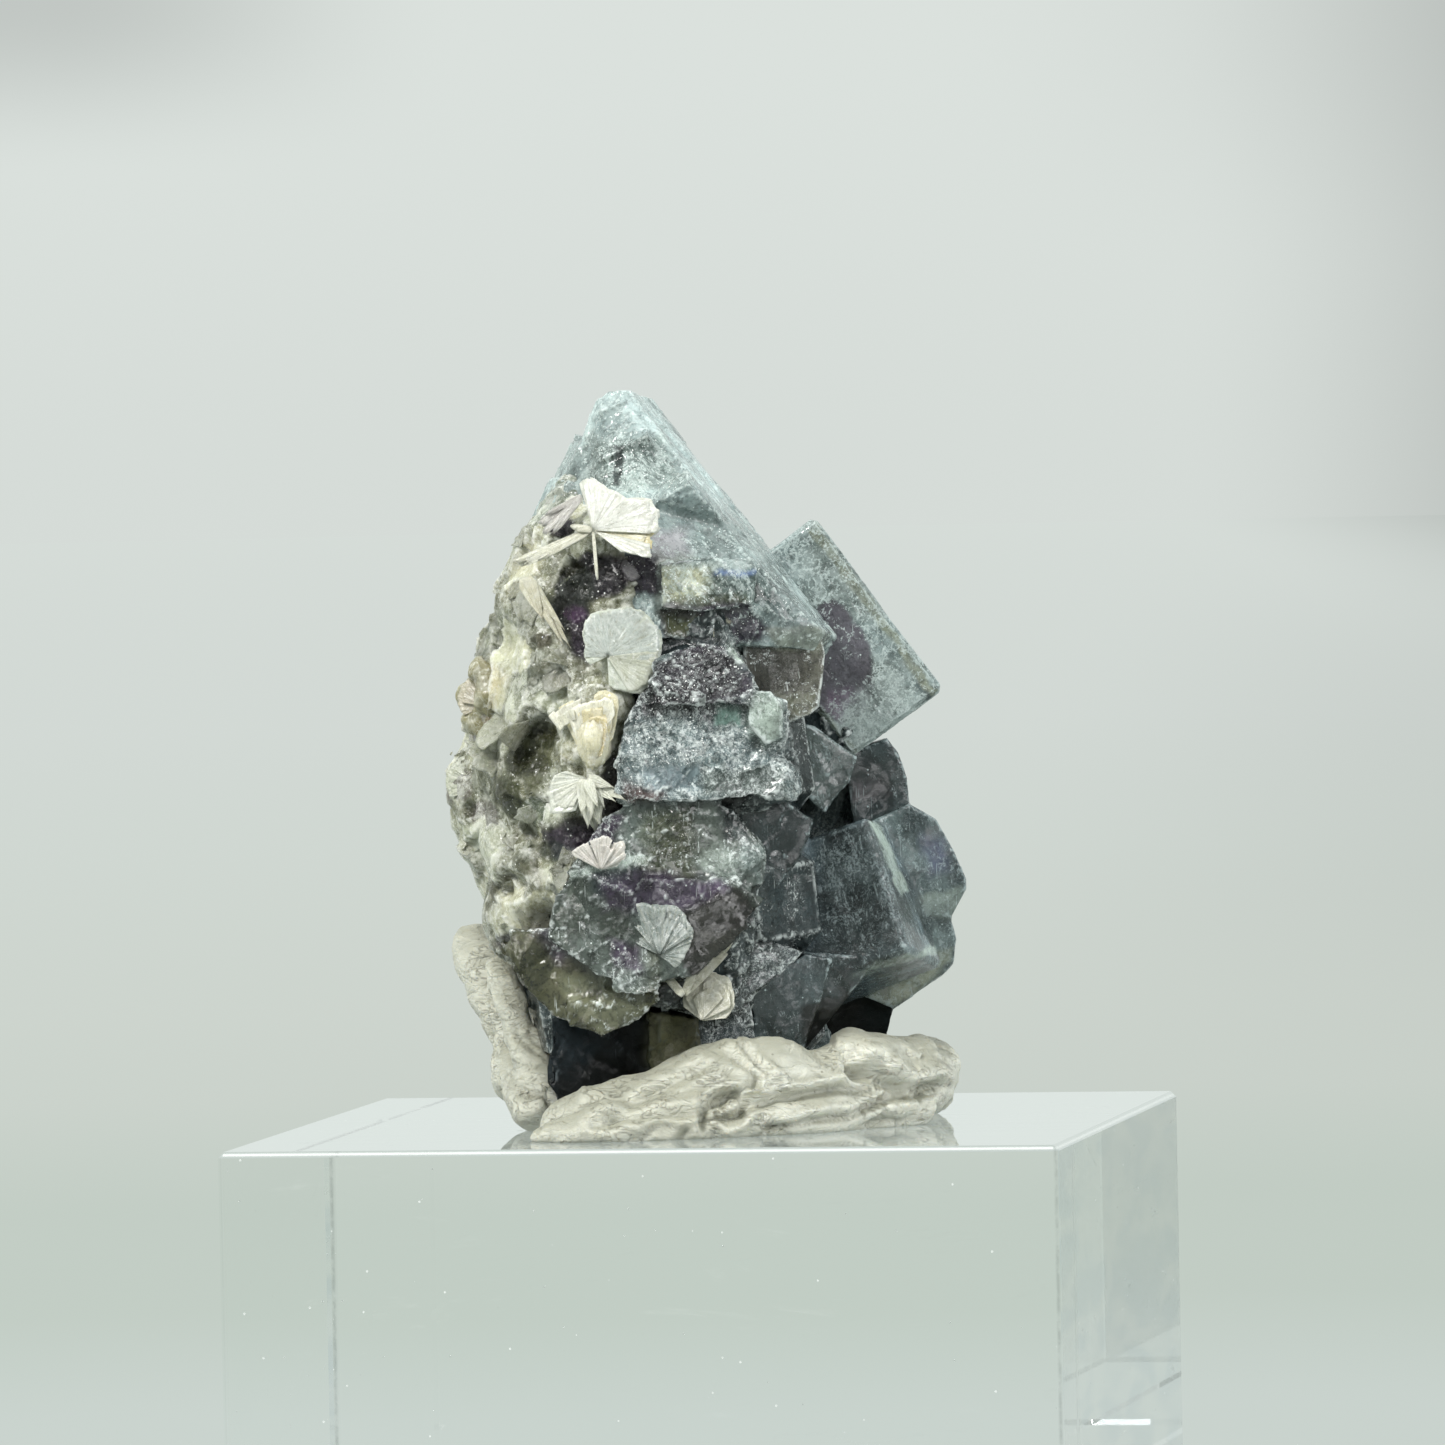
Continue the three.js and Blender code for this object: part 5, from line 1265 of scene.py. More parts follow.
def mica_material(name, gloss, painted_sheen, fibres, curled=0.8):
    """Pearly mica: fine fibres, pale veins, blotches of painted sheen, painted glints, painted shade in its hollows,
    and a little light let through.
    """
    s = Shader(name)
    grain_place = s.mask("grain", "Vector")
    edge = s.mask("edge")
    cavity_shade = s.mask("cavity_shade")
    fibre = s.noise(s.stretch(grain_place, (7.0, 0.7, 1.0)), 1.6, 4, 0.6)
    blotch = s.noise(s.place, 1.1, 7, 0.7, 0.4)
    flecks = s.noise(s.place, 3.2, 6, 0.78, 0.3)
    pale = s.ramp(s.node("ShaderNodeRGBToBW", {0: s.mask("tint", "Color")}).outputs[0], 0.04, 0.26, 0.0, 1.0)
    shaded_fibre = s.math("MULTIPLY", s.ramp(fibre, 0.3, 0.52, fibres, 0.0), pale)
    colour = s.mix(shaded_fibre, s.mask("tint", "Color"), (0.30, 0.27, 0.15))
    # painted sheen: pale blotches whiten the pale mica
    colour = s.mix(s.math("MULTIPLY", s.ramp(blotch, 0.46, 0.62, 0.0, painted_sheen), pale), colour, (0.88, 0.90, 0.83))
    colour = s.mix(s.ramp(flecks, 0.46, 0.38, 0.0, 0.6 * fibres), colour, (0.05, 0.055, 0.03))
    veins = s.math("ABSOLUTE", s.math("SUBTRACT", s.noise(s.place, 0.7, 3, 0.5, 1.5), 0.5, clamp=False), clamp=False)
    veins = s.math("MULTIPLY", s.ramp(veins, 0.02, 0.0), s.ramp(flecks, 0.4, 0.55, 0.0, 0.6))
    light = s.math("MAXIMUM", veins, s.math("MULTIPLY", edge, s.ramp(flecks, 0.4, 0.55, 0.1, 0.7)))
    light = s.math("MAXIMUM", light, s.ramp(flecks, 0.62, 0.7, 0.0, 0.2 + fibres))
    curls = s.math("ABSOLUTE", s.math("SUBTRACT", s.noise(s.place, 1.7, 5, 0.68, 1.8), 0.5, clamp=False), clamp=False)
    curls = s.math("MULTIPLY", s.ramp(curls, 0.028, 0.0), s.ramp(flecks, 0.42, 0.55, 0.0, curled))
    light = s.math("MAXIMUM", light, curls)
    light = s.math("MULTIPLY", light, s.ramp(pale, 0.1, 0.8, 0.03, 1.0))
    colour = s.mix(light, colour, (0.92, 0.92, 0.86))
    # painted glints: small near-white specks, more where the sparkle mask is high
    glint_cells = s.cells(s.place, 4.0)
    painted_glint = s.math("MULTIPLY", s.ramp(glint_cells.outputs["Distance"], 0.24, 0.16), s.ramp(glint_cells.outputs["Color"], 0.7, 0.74))
    colour = s.mix(s.math("MULTIPLY", painted_glint, s.ramp(s.mask("sparkle"), 0.1, 0.8, 0.35, 1.0)), colour, (0.95, 0.96, 0.92))
    # painted shade: the mica goes towards dark olive in its hollows
    colour = s.mix(s.math("MULTIPLY", cavity_shade, 0.8), colour, (0.05, 0.05, 0.025))
    glitter = s.math("ADD", s.facets(s.place, 2.0, "EUCLIDEAN"), s.facets(s.place, 5.0), clamp=False)
    glitter = s.math("MULTIPLY", glitter, s.ramp(s.mask("sparkle"), 0.05, 1.0, 0.1, 1.0), clamp=False)
    relief = s.bump(glitter, 0.8, 1.1)
    relief = s.bump(fibre, 0.5, 0.12, relief)
    rough = s.ramp(blotch, 0.35, 0.65, gloss, gloss + 0.2)
    return s.finish(
        Base_Color=colour, Roughness=rough, IOR=1.56, Normal=relief, Transmission_Weight=s.mask("clear"),
        Coat_Weight=0.15, Coat_Roughness=0.1, Subsurface_Weight=0.3, Subsurface_Radius=(1.0, 1.0, 0.8),
        Subsurface_Scale=0.001,
    )


def glittering(tint):
    """The sparkle mask: dark mica gets more painted glints and glittering facets, pale mica is calm."""
    return np.clip(1 - 2.4 * tint.mean(axis=1), 0.1, 1)


CRUST_WARMTH = (0.74, 0.73, 0.62)

# Where the rosettes and the olive pit are, so that no shell hides them: (x, z) and reach

ROSETTE_PLACES = [
    (-4.8, 28.6, 3.0), (-6.3, 24.6, 2.8), (-7.2, 20.0, 2.6), (-6.0, 16.8, 2.0), (-4.2, 37.0, 3.2), (-7.6, 31.4, 1.8), (-11.6, 14.9, 1.8), (-9.3, 23.9, 0.9),
    (-10.6, 22.2, 1.1), (-11.9, 20.4, 1.0), (-8.2, 33.2, 1.3),
]


def off_rosettes(points):
    clear = np.ones(len(points), bool)
    for x, z, reach in ROSETTE_PLACES:
        clear &= np.hypot(points[:, 0] - x, points[:, 2] - z) > reach
    return clear


def make_crust(solids):
    random = np.random.RandomState(77)
    lumps = [lump(np.array(centre), np.array(reach), 101 + i) for i, (centre, reach) in enumerate(CRUST_LUMPS)]
    vertices, triangles = fused(lumps, 0.45)
    vertices = relaxed(vertices, triangles, 22)
    vertices = vertices + 0.35 * vertex_normals(vertices, triangles)
    vertices, triangles = fused([{"vertices": vertices, "triangles": triangles}], 0.18)
    vertices = relaxed(vertices, triangles, 3)
    normals = vertex_normals(vertices, triangles)
    swell = 0.3 * rough_noise(vertices, 3.2, 3, 2)
    notch = -0.6 * smooth_step(rough_noise(vertices, 2.4, 14), 0.35, 0.6)
    warped = vertices + 0.35 * np.stack([noise(vertices, 1.2, 95 + k) for k in range(3)], axis=1)
    large, shade = rock_cells(warped, 2.5, 211)
    small, small_shade = rock_cells(warped, 1.1, 231)
    vertices = vertices + normals * (swell + notch - 0.3 + 0.6 * large + 0.14 * small)[:, None]
    pit = np.hypot(vertices[:, 0] + 11.6, vertices[:, 2] - 14.9)
    vertices = vertices - normals * (0.9 * (1 - smooth_step(pit, 0.5, 1.2)))[:, None]
    close, wide = bends(vertices, triangles)
    tint = crust_tint(vertices, 4)
    for low, colour in ((0.45, CREAM), (-0.95, OLIVE)):
        own = 0.45 * smooth_step(shade, low, low + 0.05) * (1 - smooth_step(shade, low + 0.5, low + 0.55))
        pale = smooth_step(tint.mean(axis=1), 0.08, 0.25)
        tint = tint + (own * pale)[:, None] * (np.array(colour) - tint)
    tint = tint * np.array(CRUST_WARMTH) * (1 + 0.28 * shade + 0.22 * small_shade)[:, None]
    spin = 2.6 * shade + 1.1 * small_shade
    grain = np.stack([
        vertices[:, 0] * np.cos(spin) + vertices[:, 2] * np.sin(spin),
        vertices[:, 2] * np.cos(spin) - vertices[:, 0] * np.sin(spin),
        vertices[:, 1] + 5.0 * shade,
    ], axis=1)
    # painted shade: the crust's hollows are found here and darkened in its material
    body = {
        "vertices": vertices,
        "triangles": triangles,
        "tint": tint,
        "grain": grain,
        "clear": np.full(len(vertices), 0.12),
        "sparkle": glittering(tint),
        "edge": smooth_step(close, 0.01, 0.05),
        "cavity_shade": smooth_step(-wide, 0.1, 0.5),
    }
    material = mica_material("mica_crust", 0.16, 0.4, 0.2)
    material.node_tree.nodes["Principled BSDF"].inputs["Specular IOR Level"].default_value = 0.35
    add_piece("mica_crust_body", body, material, "mica_crust", smooth=True)
    add_shells(vertices, triangles, solids, random)
    add_flakes(vertices, triangles, solids, random)


SHELL_COUNT = 150


def add_shells(vertices, triangles, solids, random):
    """Fans of mica that lie along the crust, ribbed from their hinges."""
    centres, outward = surface_points(vertices, triangles, SHELL_COUNT, random)
    shown = ~inside(centres, list(solids.values()), 0.3) & (outward[:, 1] < 0.5) & off_rosettes(centres)
    sheets = []
    for i, (centre, normal) in enumerate(zip(centres[shown], outward[shown])):
        toward_front = float(smooth_step(-normal[1], 0.2, 0.7))
        facing = unit(normal + (0.04 + 0.2 * toward_front) * unit(random.normal(size=3)))
        across = unit(np.cross(facing, random.normal(size=3)))
        along = np.cross(facing, across)
        half = math.radians(random.uniform(30, 80))
        length = (1.0 + 1.7 * random.uniform() ** 1.5) * (0.35 + 0.65 * toward_front)
        rows = np.linspace(0.05, 1, PLATE_ROWS)[:, None]
        columns = np.linspace(-1, 1, PLATE_COLUMNS)[None, :]
        rim = 1 + 0.16 * np.interp(columns, np.linspace(-1, 1, 8), random.uniform(-1, 1, 8))
        reach = rows * length * rim
        u, v = reach * np.sin(columns * half), reach * np.cos(columns * half) - 0.45 * length
        ribs = 0.03 * np.sin(columns * half * random.uniform(14, 22) + i) * np.sqrt(rows)
        w = ribs - random.uniform(0.03, 0.09) * (u**2 + v**2) + random.uniform(0.05, 0.3) * toward_front
        sheet = centre + u[..., None] * across + v[..., None] * along + w[..., None] * facing
        grain = np.stack([columns * half * 2.2 + 0 * reach, reach, 0 * reach + 3.1 * i], axis=-1)
        tint = crust_tint(centre[None], 4)[0]
        lift = random.uniform(0.0, 0.5) * min(1, 4 * tint.mean())
        tint = (tint + lift * (np.array(WARM_WHITE) - tint)) * CRUST_WARMTH
        shade = random.uniform(0.85, 1.25)
        if centre[0] > -11 or centre[2] > 15:
            sheets.append(sheet_part(sheet, facing, 0.06, tint * shade, grain))
    shells = join_parts(sheets)
    shells["clear"] = shells["clear"] + 0.35
    add_piece("mica_crust_shells", shells, mica_material("mica_shells", 0.22, 0.3, 0.5),
              "mica_crust", smooth=True)


def add_flakes(vertices, triangles, solids, random):
    """Flakes: most lie along the crust, some stand on edge, and some are stacked into books."""
    centres, outward = surface_points(vertices, triangles, 120, random)
    bare = ~inside(centres, list(solids.values()), 0.3) & off_rosettes(centres)
    centres, outward = centres[bare], outward[bare]
    count = len(centres)
    tilt = (smooth_step(-outward[:, 1], 0.2, 0.7) * (0.1 + 0.6 * random.uniform(0, 1, count) ** 2.5))[:, None]
    facing = unit(outward + tilt * unit(random.normal(size=(count, 3))))
    sizes = 0.25 + 0.6 * random.uniform(0, 1, count) ** 2
    sizes = sizes * (0.5 + 0.5 * smooth_step(-outward[:, 1], 0.2, 0.7))
    thickness = random.uniform(0.05, 0.1, count)
    tints = crust_tint(centres, 4)
    lift = (0.2 + 0.8 * random.uniform(0, 1, count) ** 1.6)[:, None]
    lift = lift * np.clip(4 * tints.mean(axis=1), 0, 1)[:, None]
    tints = 1.1 * np.array(CRUST_WARMTH) * (tints + 0.6 * lift * (np.array(WARM_WHITE) - tints))
    books = []
    for layer in range(3):
        shift = facing * (layer * 0.13) + 0.12 * layer * unit(random.normal(size=(count, 3)))
        chosen = random.uniform(0, 1, count) < (1.0, 0.4, 0.25)[layer]
        places = centres - outward * 0.04 + shift
        books.append(
            plates(
                places[chosen], facing[chosen], (sizes * (1 - 0.15 * layer))[chosen], thickness[chosen],
                tints[chosen], random,
            )
        )
    flakes = calm_masks(join_parts(books))
    add_piece("mica_crust_flakes", flakes, mica_material("mica_flakes", 0.2, 0.3, 0.25), "mica_crust")


def calm_masks(part):
    """Adds the masks of a piece without painted shade in hollows, or glitter of its own."""
    count = len(part["vertices"])
    return part | {"edge": np.zeros(count), "cavity_shade": np.zeros(count), "sparkle": np.full(count, 0.15)}


# Rosettes: each is a set of thin ribbed sheets that spread from a hinge. Angles run clockwise from straight up, in
# degrees. rim holds (angle, reach) pairs of the rosette's own outline, and each sheet is (first angle, last angle,
# share of that reach, its front to back place, its colour where it has its own). face is the way that the sheets
# look. Blades are (angle, length, width), and pointed ones narrow to a tip.

STRAW = (0.66, 0.55, 0.26)

ROSETTES = [
    {"name": "mica_fan_top", "hinge": (-6.14, -12.3, 35.98), "face": (-0.3, -0.8, 0.5),
     "rim": [(-16, 2.9), (-6, 3.2), (22, 2.6), (48, 2.8), (63, 4.0), (74, 4.15), (89, 4.0), (96, 3.65), (104, 3.65),
             (115, 3.9), (125, 2.4), (150, 0.9)],
     "sheets": [(-16, 95, 1.0, 0.0, None), (-12, 40, 0.96, -0.10, None), (28, 93, 0.97, -0.16, None),
                (48, 88, 0.86, -0.26, None), (62, 94, 0.93, -0.34, None), (90, 108, 0.98, 0.0, STRAW),
                (92, 104, 0.9, -0.1, (0.76, 0.70, 0.46)), (104, 119, 1.0, -0.05, None),
                (106, 128, 0.94, -0.16, (0.78, 0.78, 0.66))],
     "tint": (0.64, 0.65, 0.57)},
    {"name": "mica_blades_left", "hinge": (-6.14, -12.0, 35.98), "face": (-0.2, -0.7, 0.7),
     "blades": [(-111, 5.0, 0.42), (-113.5, 5.15, 0.5), (-115, 4.6, 0.4), (-117, 3.8, 0.3), (-80, 1.4, 0.35),
                (-86, 1.1, 0.3), (176, 3.0, 0.2)],
     "tint": (0.70, 0.69, 0.54)},
    {"name": "mica_blade_lower_left", "hinge": (-10.3, -9.8, 33.3), "face": (-0.5, -0.8, 0.2), "pointed": True,
     "blades": [(148, 5.3, 1.0), (151, 5.0, 0.7), (144, 4.2, 0.8), (158, 3.0, 1.2)],
     "tint": (0.62, 0.59, 0.42)},
    {"name": "mica_flake_upper_left", "hinge": (-6.7, -10.0, 38.0), "face": (-0.4, -0.8, 0.4),
     "blades": [(-121, 3.2, 0.5), (-126, 3.1, 0.4), (-116, 2.6, 0.3), (-132, 3.4, 0.4), (-140, 2.9, 0.3)],
     "tint": (0.62, 0.59, 0.55)},
    {"name": "mica_fan_middle", "hinge": (-5.45, -13.4, 28.5), "face": (0.12, -0.9, 0.15), "calm": True,
     "rim": [(-114, 1.2), (-62, 1.55), (-41, 2.2), (-21, 2.8), (6, 2.9), (34, 3.4), (61, 3.6), (84, 3.4), (102, 3.05),
             (125, 3.15), (138, 3.0), (160, 2.2), (178, 1.8)],
     "sheets": [(-114, 178, 1.0, 0.0, None), (-90, 120, 0.97, -0.05, (0.52, 0.57, 0.51)),
                (84, 150, 0.95, -0.08, (0.54, 0.56, 0.44))],
     "tint": (0.53, 0.57, 0.47)},
    {"name": "mica_shell_centre", "hinge": (-6.8, -14.2, 22.1), "face": (-0.25, -0.95, 0.12), "fold": 2.2,
     "rim": [(-37, 3.7), (-22, 3.85), (-10, 4.0), (2, 4.3), (15, 4.75), (24, 4.7), (33, 3.6), (42, 2.5), (61, 1.25)],
     "sheets": [(-37, -4, 1.0, 0.0, None, 0.74), (-25, 46, 1.0, 0.1, (0.76, 0.70, 0.44), 0.1),
                (-20, 30, 0.9, -0.1, None, 0.3), (-14, 36, 0.8, -0.22, (0.76, 0.68, 0.40), 0.3),
                (-36, -12, 0.92, -0.12, None, 0.78), (4, 56, 0.66, -0.3, (0.62, 0.52, 0.28), 0.2)],
     "tint": (0.82, 0.80, 0.64)},
    {"name": "mica_flower_centre", "hinge": (-6.8, -14.1, 21.35), "face": (-0.2, -0.9, 0.2), "pointed": True,
     "rim": [(200, 2.1), (213, 2.45), (228, 3.0), (254, 2.4), (277, 1.9), (290, 1.3)],
     "sheets": [(200, 290, 1.0, 0.1, (0.66, 0.68, 0.58)), (206, 250, 0.86, -0.05, (0.76, 0.77, 0.64))],
     "blades": [(172, 3.5, 2.3), (165, 3.2, 1.5), (180, 3.1, 1.5), (120, 2.8, 1.0), (130, 2.3, 1.1), (150, 2.2, 1.1),
                (190, 2.3, 1.2), (110, 1.9, 0.8), (173, 2.5, 1.0), (160, 2.0, 0.7)],
     "tint": (0.80, 0.81, 0.66)},
    {"name": "mica_fan_low_centre", "hinge": (-6.07, -15.5, 15.95), "face": (-0.2, -0.95, 0.08),
     "rim": [(-64, 1.7), (-58, 2.1), (-41, 1.9), (-11, 1.9), (13, 2.15), (28, 1.9), (39, 2.2), (62, 1.7), (78, 1.2)],
     "sheets": [(-64, 78, 0.86, 0.1, (0.54, 0.55, 0.50)), (-62, -24, 1.0, 0.0, None), (-20, 22, 1.0, -0.08, None),
                (26, 66, 1.0, -0.04, None), (-8, 34, 0.75, -0.16, None)],
     "tint": (0.76, 0.71, 0.64)},
    {"name": "mica_fan_grey", "hinge": (-2.73, -15.3, 10.84), "face": (-0.15, -0.92, 0.2),
     "rim": [(-64, 1.4), (-33, 3.7), (-14, 3.4), (-5, 3.0), (22, 3.1), (56, 2.5), (88, 1.6), (130, 1.2)],
     "sheets": [(-64, 130, 1.0, 0.0, None), (-40, 10, 0.95, -0.1, None), (0, 60, 0.9, -0.16, None),
                (-20, 30, 0.75, -0.28, None)],
     "tint": (0.24, 0.28, 0.26)},
    {"name": "mica_shells_left", "hinge": (-13.2, -4.2, 20.6), "face": (-0.4, -0.8, 0.3),
     "rim": [(-134, 1.9), (-70, 2.3), (-6, 2.0)],
     "sheets": [(-134, -6, 1.0, 0.0, None), (-110, -60, 0.9, -0.15, None), (-60, -10, 0.85, -0.2, None)],
     "tint": (0.50, 0.52, 0.40)},
    {"name": "mica_knobs_left", "hinge": (-12.8, -5.0, 25.4), "face": (-0.4, -0.8, 0.4),
     "rim": [(-110, 1.5), (-50, 2.0), (24, 1.7)],
     "sheets": [(-110, 24, 1.0, 0.0, None), (-80, -20, 0.85, -0.2, None)],
     "tint": (0.50, 0.45, 0.34)},
    {"name": "mica_lump_low", "hinge": (-0.3, -13.6, 6.8), "face": (-0.3, -0.85, 0.3),
     "calm": True,
     "rim": [(-52, 1.4), (-32, 1.9), (-10, 2.5), (12, 3.0), (34, 3.1), (56, 2.5), (84, 1.5)],
     "sheets": [(-52, 84, 1.0, 0.0, None), (-36, 20, 0.9, -0.15, None), (4, 66, 0.86, -0.22, None),
                (-20, 44, 0.66, -0.34, None)],
     "tint": (0.54, 0.53, 0.42)},
    {"name": "mica_blade_low", "hinge": (-1.3, -14.2, 8.3), "face": (-0.1, -0.9, 0.3),
     "blades": [(43, 4.4, 0.3), (40, 4.0, 0.3), (46, 3.8, 0.3), (36, 3.0, 0.3), (20, 2.0, 0.5), (-40, 2.2, 0.5)],
     "tint": (0.50, 0.50, 0.38)},
]

# Smooth brown beads at the crust's left: (place, radius)

BEADS = [
    ((-12.9, -4.2, 27.4), 1.0), ((-12.5, -4.9, 25.9), 1.4), ((-13.0, -4.0, 24.6), 1.2), ((-13.6, -2.9, 26.0), 1.0),
]
BEAD_TINT = (0.27, 0.25, 0.14)

BULB_AT = (-6.35, -14.1, 23.5)
BULB_REACH = (1.1, 1.15, 1.6)
BULB_TINT = (0.72, 0.68, 0.48)

PLATE_ROWS = 12
PLATE_COLUMNS = 21


def sheet_part(sheet, normal, thickness, tint, grain):
    """A thin closed plate from a grid of points, with its masks."""
    faces = [sheet - normal * thickness / 2, sheet + normal * thickness / 2]
    high, low = np.arange(2 * sheet[..., 0].size).reshape(2, *sheet.shape[:2])

    def quads(a, b, c, d):
        return np.concatenate([np.stack([a, b, c], -1).reshape(-1, 3), np.stack([a, c, d], -1).reshape(-1, 3)])

    around = [
        quads(low[:-1, :-1], low[:-1, 1:], low[1:, 1:], low[1:, :-1]),
        quads(high[:-1, :-1], high[1:, :-1], high[1:, 1:], high[:-1, 1:]),
        quads(low[:-1, 0], low[1:, 0], high[1:, 0], high[:-1, 0]),
        quads(low[:-1, -1], high[:-1, -1], high[1:, -1], low[1:, -1]),
        quads(low[0, :-1], high[0, :-1], high[0, 1:], low[0, 1:]),
        quads(low[-1, :-1], low[-1, 1:], high[-1, 1:], high[-1, :-1]),
    ]
    whole = sheet[..., 0].size * 2
    part = {
        "vertices": np.concatenate(faces).reshape(-1, 3),
        "triangles": np.concatenate(around),
        "tint": np.tile(tint, (whole, 1)),
        "grain": np.concatenate([grain, grain]).reshape(-1, 3),
        "clear": np.full(whole, 0.08),
    }
    return calm_masks(part)


def plate(spec, low, high, depth, seed, blade=None, share=1.0, tint=None, inner=0.04):
    """One mica sheet between two angles, ribbed and crumpled from the hinge, with a slightly broken rim."""
    random = np.random.RandomState(seed)
    angle, spread = math.radians((low + high) / 2), math.radians((high - low) / 2)
    count = PLATE_COLUMNS if blade else max(PLATE_COLUMNS, int((high - low) / 1.5))
    rows = np.linspace(inner, 1, PLATE_ROWS)[:, None]
    columns = np.linspace(-1, 1, count)[None, :]
    turn = angle + columns * spread
    groups = 5 if blade else max(5, int((high - low) / 7))
    steps = random.uniform(0, 0.06, groups)[np.clip(((columns + 1) * groups / 2).astype(int), 0, groups - 1)]
    if blade:
        length, width = blade
        narrow = 1 - 0.98 * rows**1.6 if spec.get("pointed") else np.where(rows > 0.8, 1 - 1.4 * (rows - 0.8), 1)
        lateral = columns * width / 2 * np.minimum(1, 0.5 + 2.4 * rows) * narrow
        forward = rows * length * (1 - 0.06 * np.abs(columns)) * (1 - steps * rows**3)
    else:
        degrees, reaches = np.array(spec["rim"]).T
        length = reaches.max()
        reach = rows * np.interp(np.degrees(turn), degrees, reaches) * (1 - steps * rows**3) * share
        lateral = reach * np.sin(turn - angle)
        forward = reach * np.cos(turn - angle)
    look_x, look_y, look_z = spec["face"]
    tip = random.uniform(-1, 1, 2) * (0.08 if blade else 0.0 if spec.get("calm") else 0.02)
    slope_x, slope_z = look_x / abs(look_y) + tip[0], look_z / abs(look_y) + tip[1]
    x = forward * math.sin(angle) + lateral * math.cos(angle)
    z = forward * math.cos(angle) - lateral * math.sin(angle)
    arc = turn if not blade else columns * 0.5
    ribs = 0.03 * np.sin(arc * (22 + 8 * random.uniform()) + seed) + 0.02 * np.sin(arc * 61 + 2 * seed)
    ribs = ribs * (0.3 if spec.get("calm") else 1)
    folds = 0.06 * spec.get("fold", 1) * np.sin(arc * 7 + seed + 1.5 * rows) * np.sin(rows * 5 + seed)
    curl = (random.uniform(-0.03, 0.08) if not spec.get("calm") else 0.01) * rows**2 * length
    y = slope_x * x + slope_z * z + depth + ribs * np.sqrt(rows) + folds * rows - curl
    sheet = np.stack([x, y, z], axis=2) + np.array(spec["hinge"])
    colour = np.array(tint or spec["tint"]) * random.uniform(0.92, 1.04)
    spacing = 0.022 if spec.get("calm") else 0.05
    across = np.broadcast_to(np.degrees(turn) * spacing if not blade else columns * 1.5, lateral.shape)
    grain = np.stack([across, np.broadcast_to(rows * length, lateral.shape), np.full(lateral.shape, seed * 1.7)], -1)
    return sheet_part(sheet, unit(np.array(spec["face"])), 0.08, colour, grain)


def bulb():
    """The smooth straw-coloured bulb under the centre shell, draped in folds."""
    vertices, triangles = fused([lump(np.array(BULB_AT), np.array(BULB_REACH), 5)], 0.14)
    vertices = relaxed(vertices, triangles, 6)
    normals = vertex_normals(vertices, triangles)
    turn = np.arctan2(vertices[:, 0] - BULB_AT[0], BULB_AT[1] - vertices[:, 1])
    draped = turn * 5 + 0.5 * vertices[:, 2]
    move = 0.06 * np.sin(1.6 * draped) + 0.04 * np.sin(4.1 * draped + 1) + 0.08 * rough_noise(vertices, 1.2, 44)
    vertices = vertices + normals * move[:, None]
    count = len(vertices)
    part = {
        "vertices": vertices,
        "triangles": triangles,
        "tint": np.tile(BULB_TINT, (count, 1)),
        "grain": np.stack([2.2 * turn, vertices[:, 2], np.zeros(count)], axis=1),
        "clear": np.full(count, 0.1),
    }
    return calm_masks(part)


def beads():
    """Rounded knobs of brown mica."""
    vertices, triangles = fused(
        [lump(np.array(place), np.full(3, radius), 7 + i) for i, (place, radius) in enumerate(BEADS)],
        0.14,
    )
    vertices = relaxed(vertices, triangles, 6)
    uneven = 0.35 * rough_noise(vertices, 1.3, 51)
    vertices = vertices + vertex_normals(vertices, triangles) * uneven[:, None]
    count = len(vertices)
    part = {
        "vertices": vertices,
        "triangles": triangles,
        "tint": np.array(BEAD_TINT) * (1 + 0.5 * rough_noise(vertices, 0.9, 52))[:, None],
        "grain": vertices,
        "clear": np.full(count, 0.15),
    }
    return calm_masks(part)


def make_rosettes():
    material = mica_material("mica_rosette", 0.2, 0.25, 0.4, 0.0)
    for number, spec in enumerate(ROSETTES):
        sheets = []
        for i, (angle, length, width) in enumerate(spec.get("blades", [])):
            depth = -0.12 * (i - len(spec["blades"]) / 2)
            sheets.append(plate(spec, angle, angle, depth, 40 * number + i + 1, (length, width)))
        for i, (low, high, *settings) in enumerate(spec.get("sheets", [])):
            share, depth, tint, inner = (*settings, 0.04)[:4]
            sheets.append(plate(spec, low, high, depth, 40 * number + i + 1, None, share, tint, inner))
        if spec["name"] == "mica_shell_centre":
            sheets.append(bulb())
        if spec["name"] == "mica_knobs_left":
            sheets.append(beads())
        add_piece(spec["name"] + "_plates", join_parts(sheets), material, spec["name"], smooth=True)


# Putty

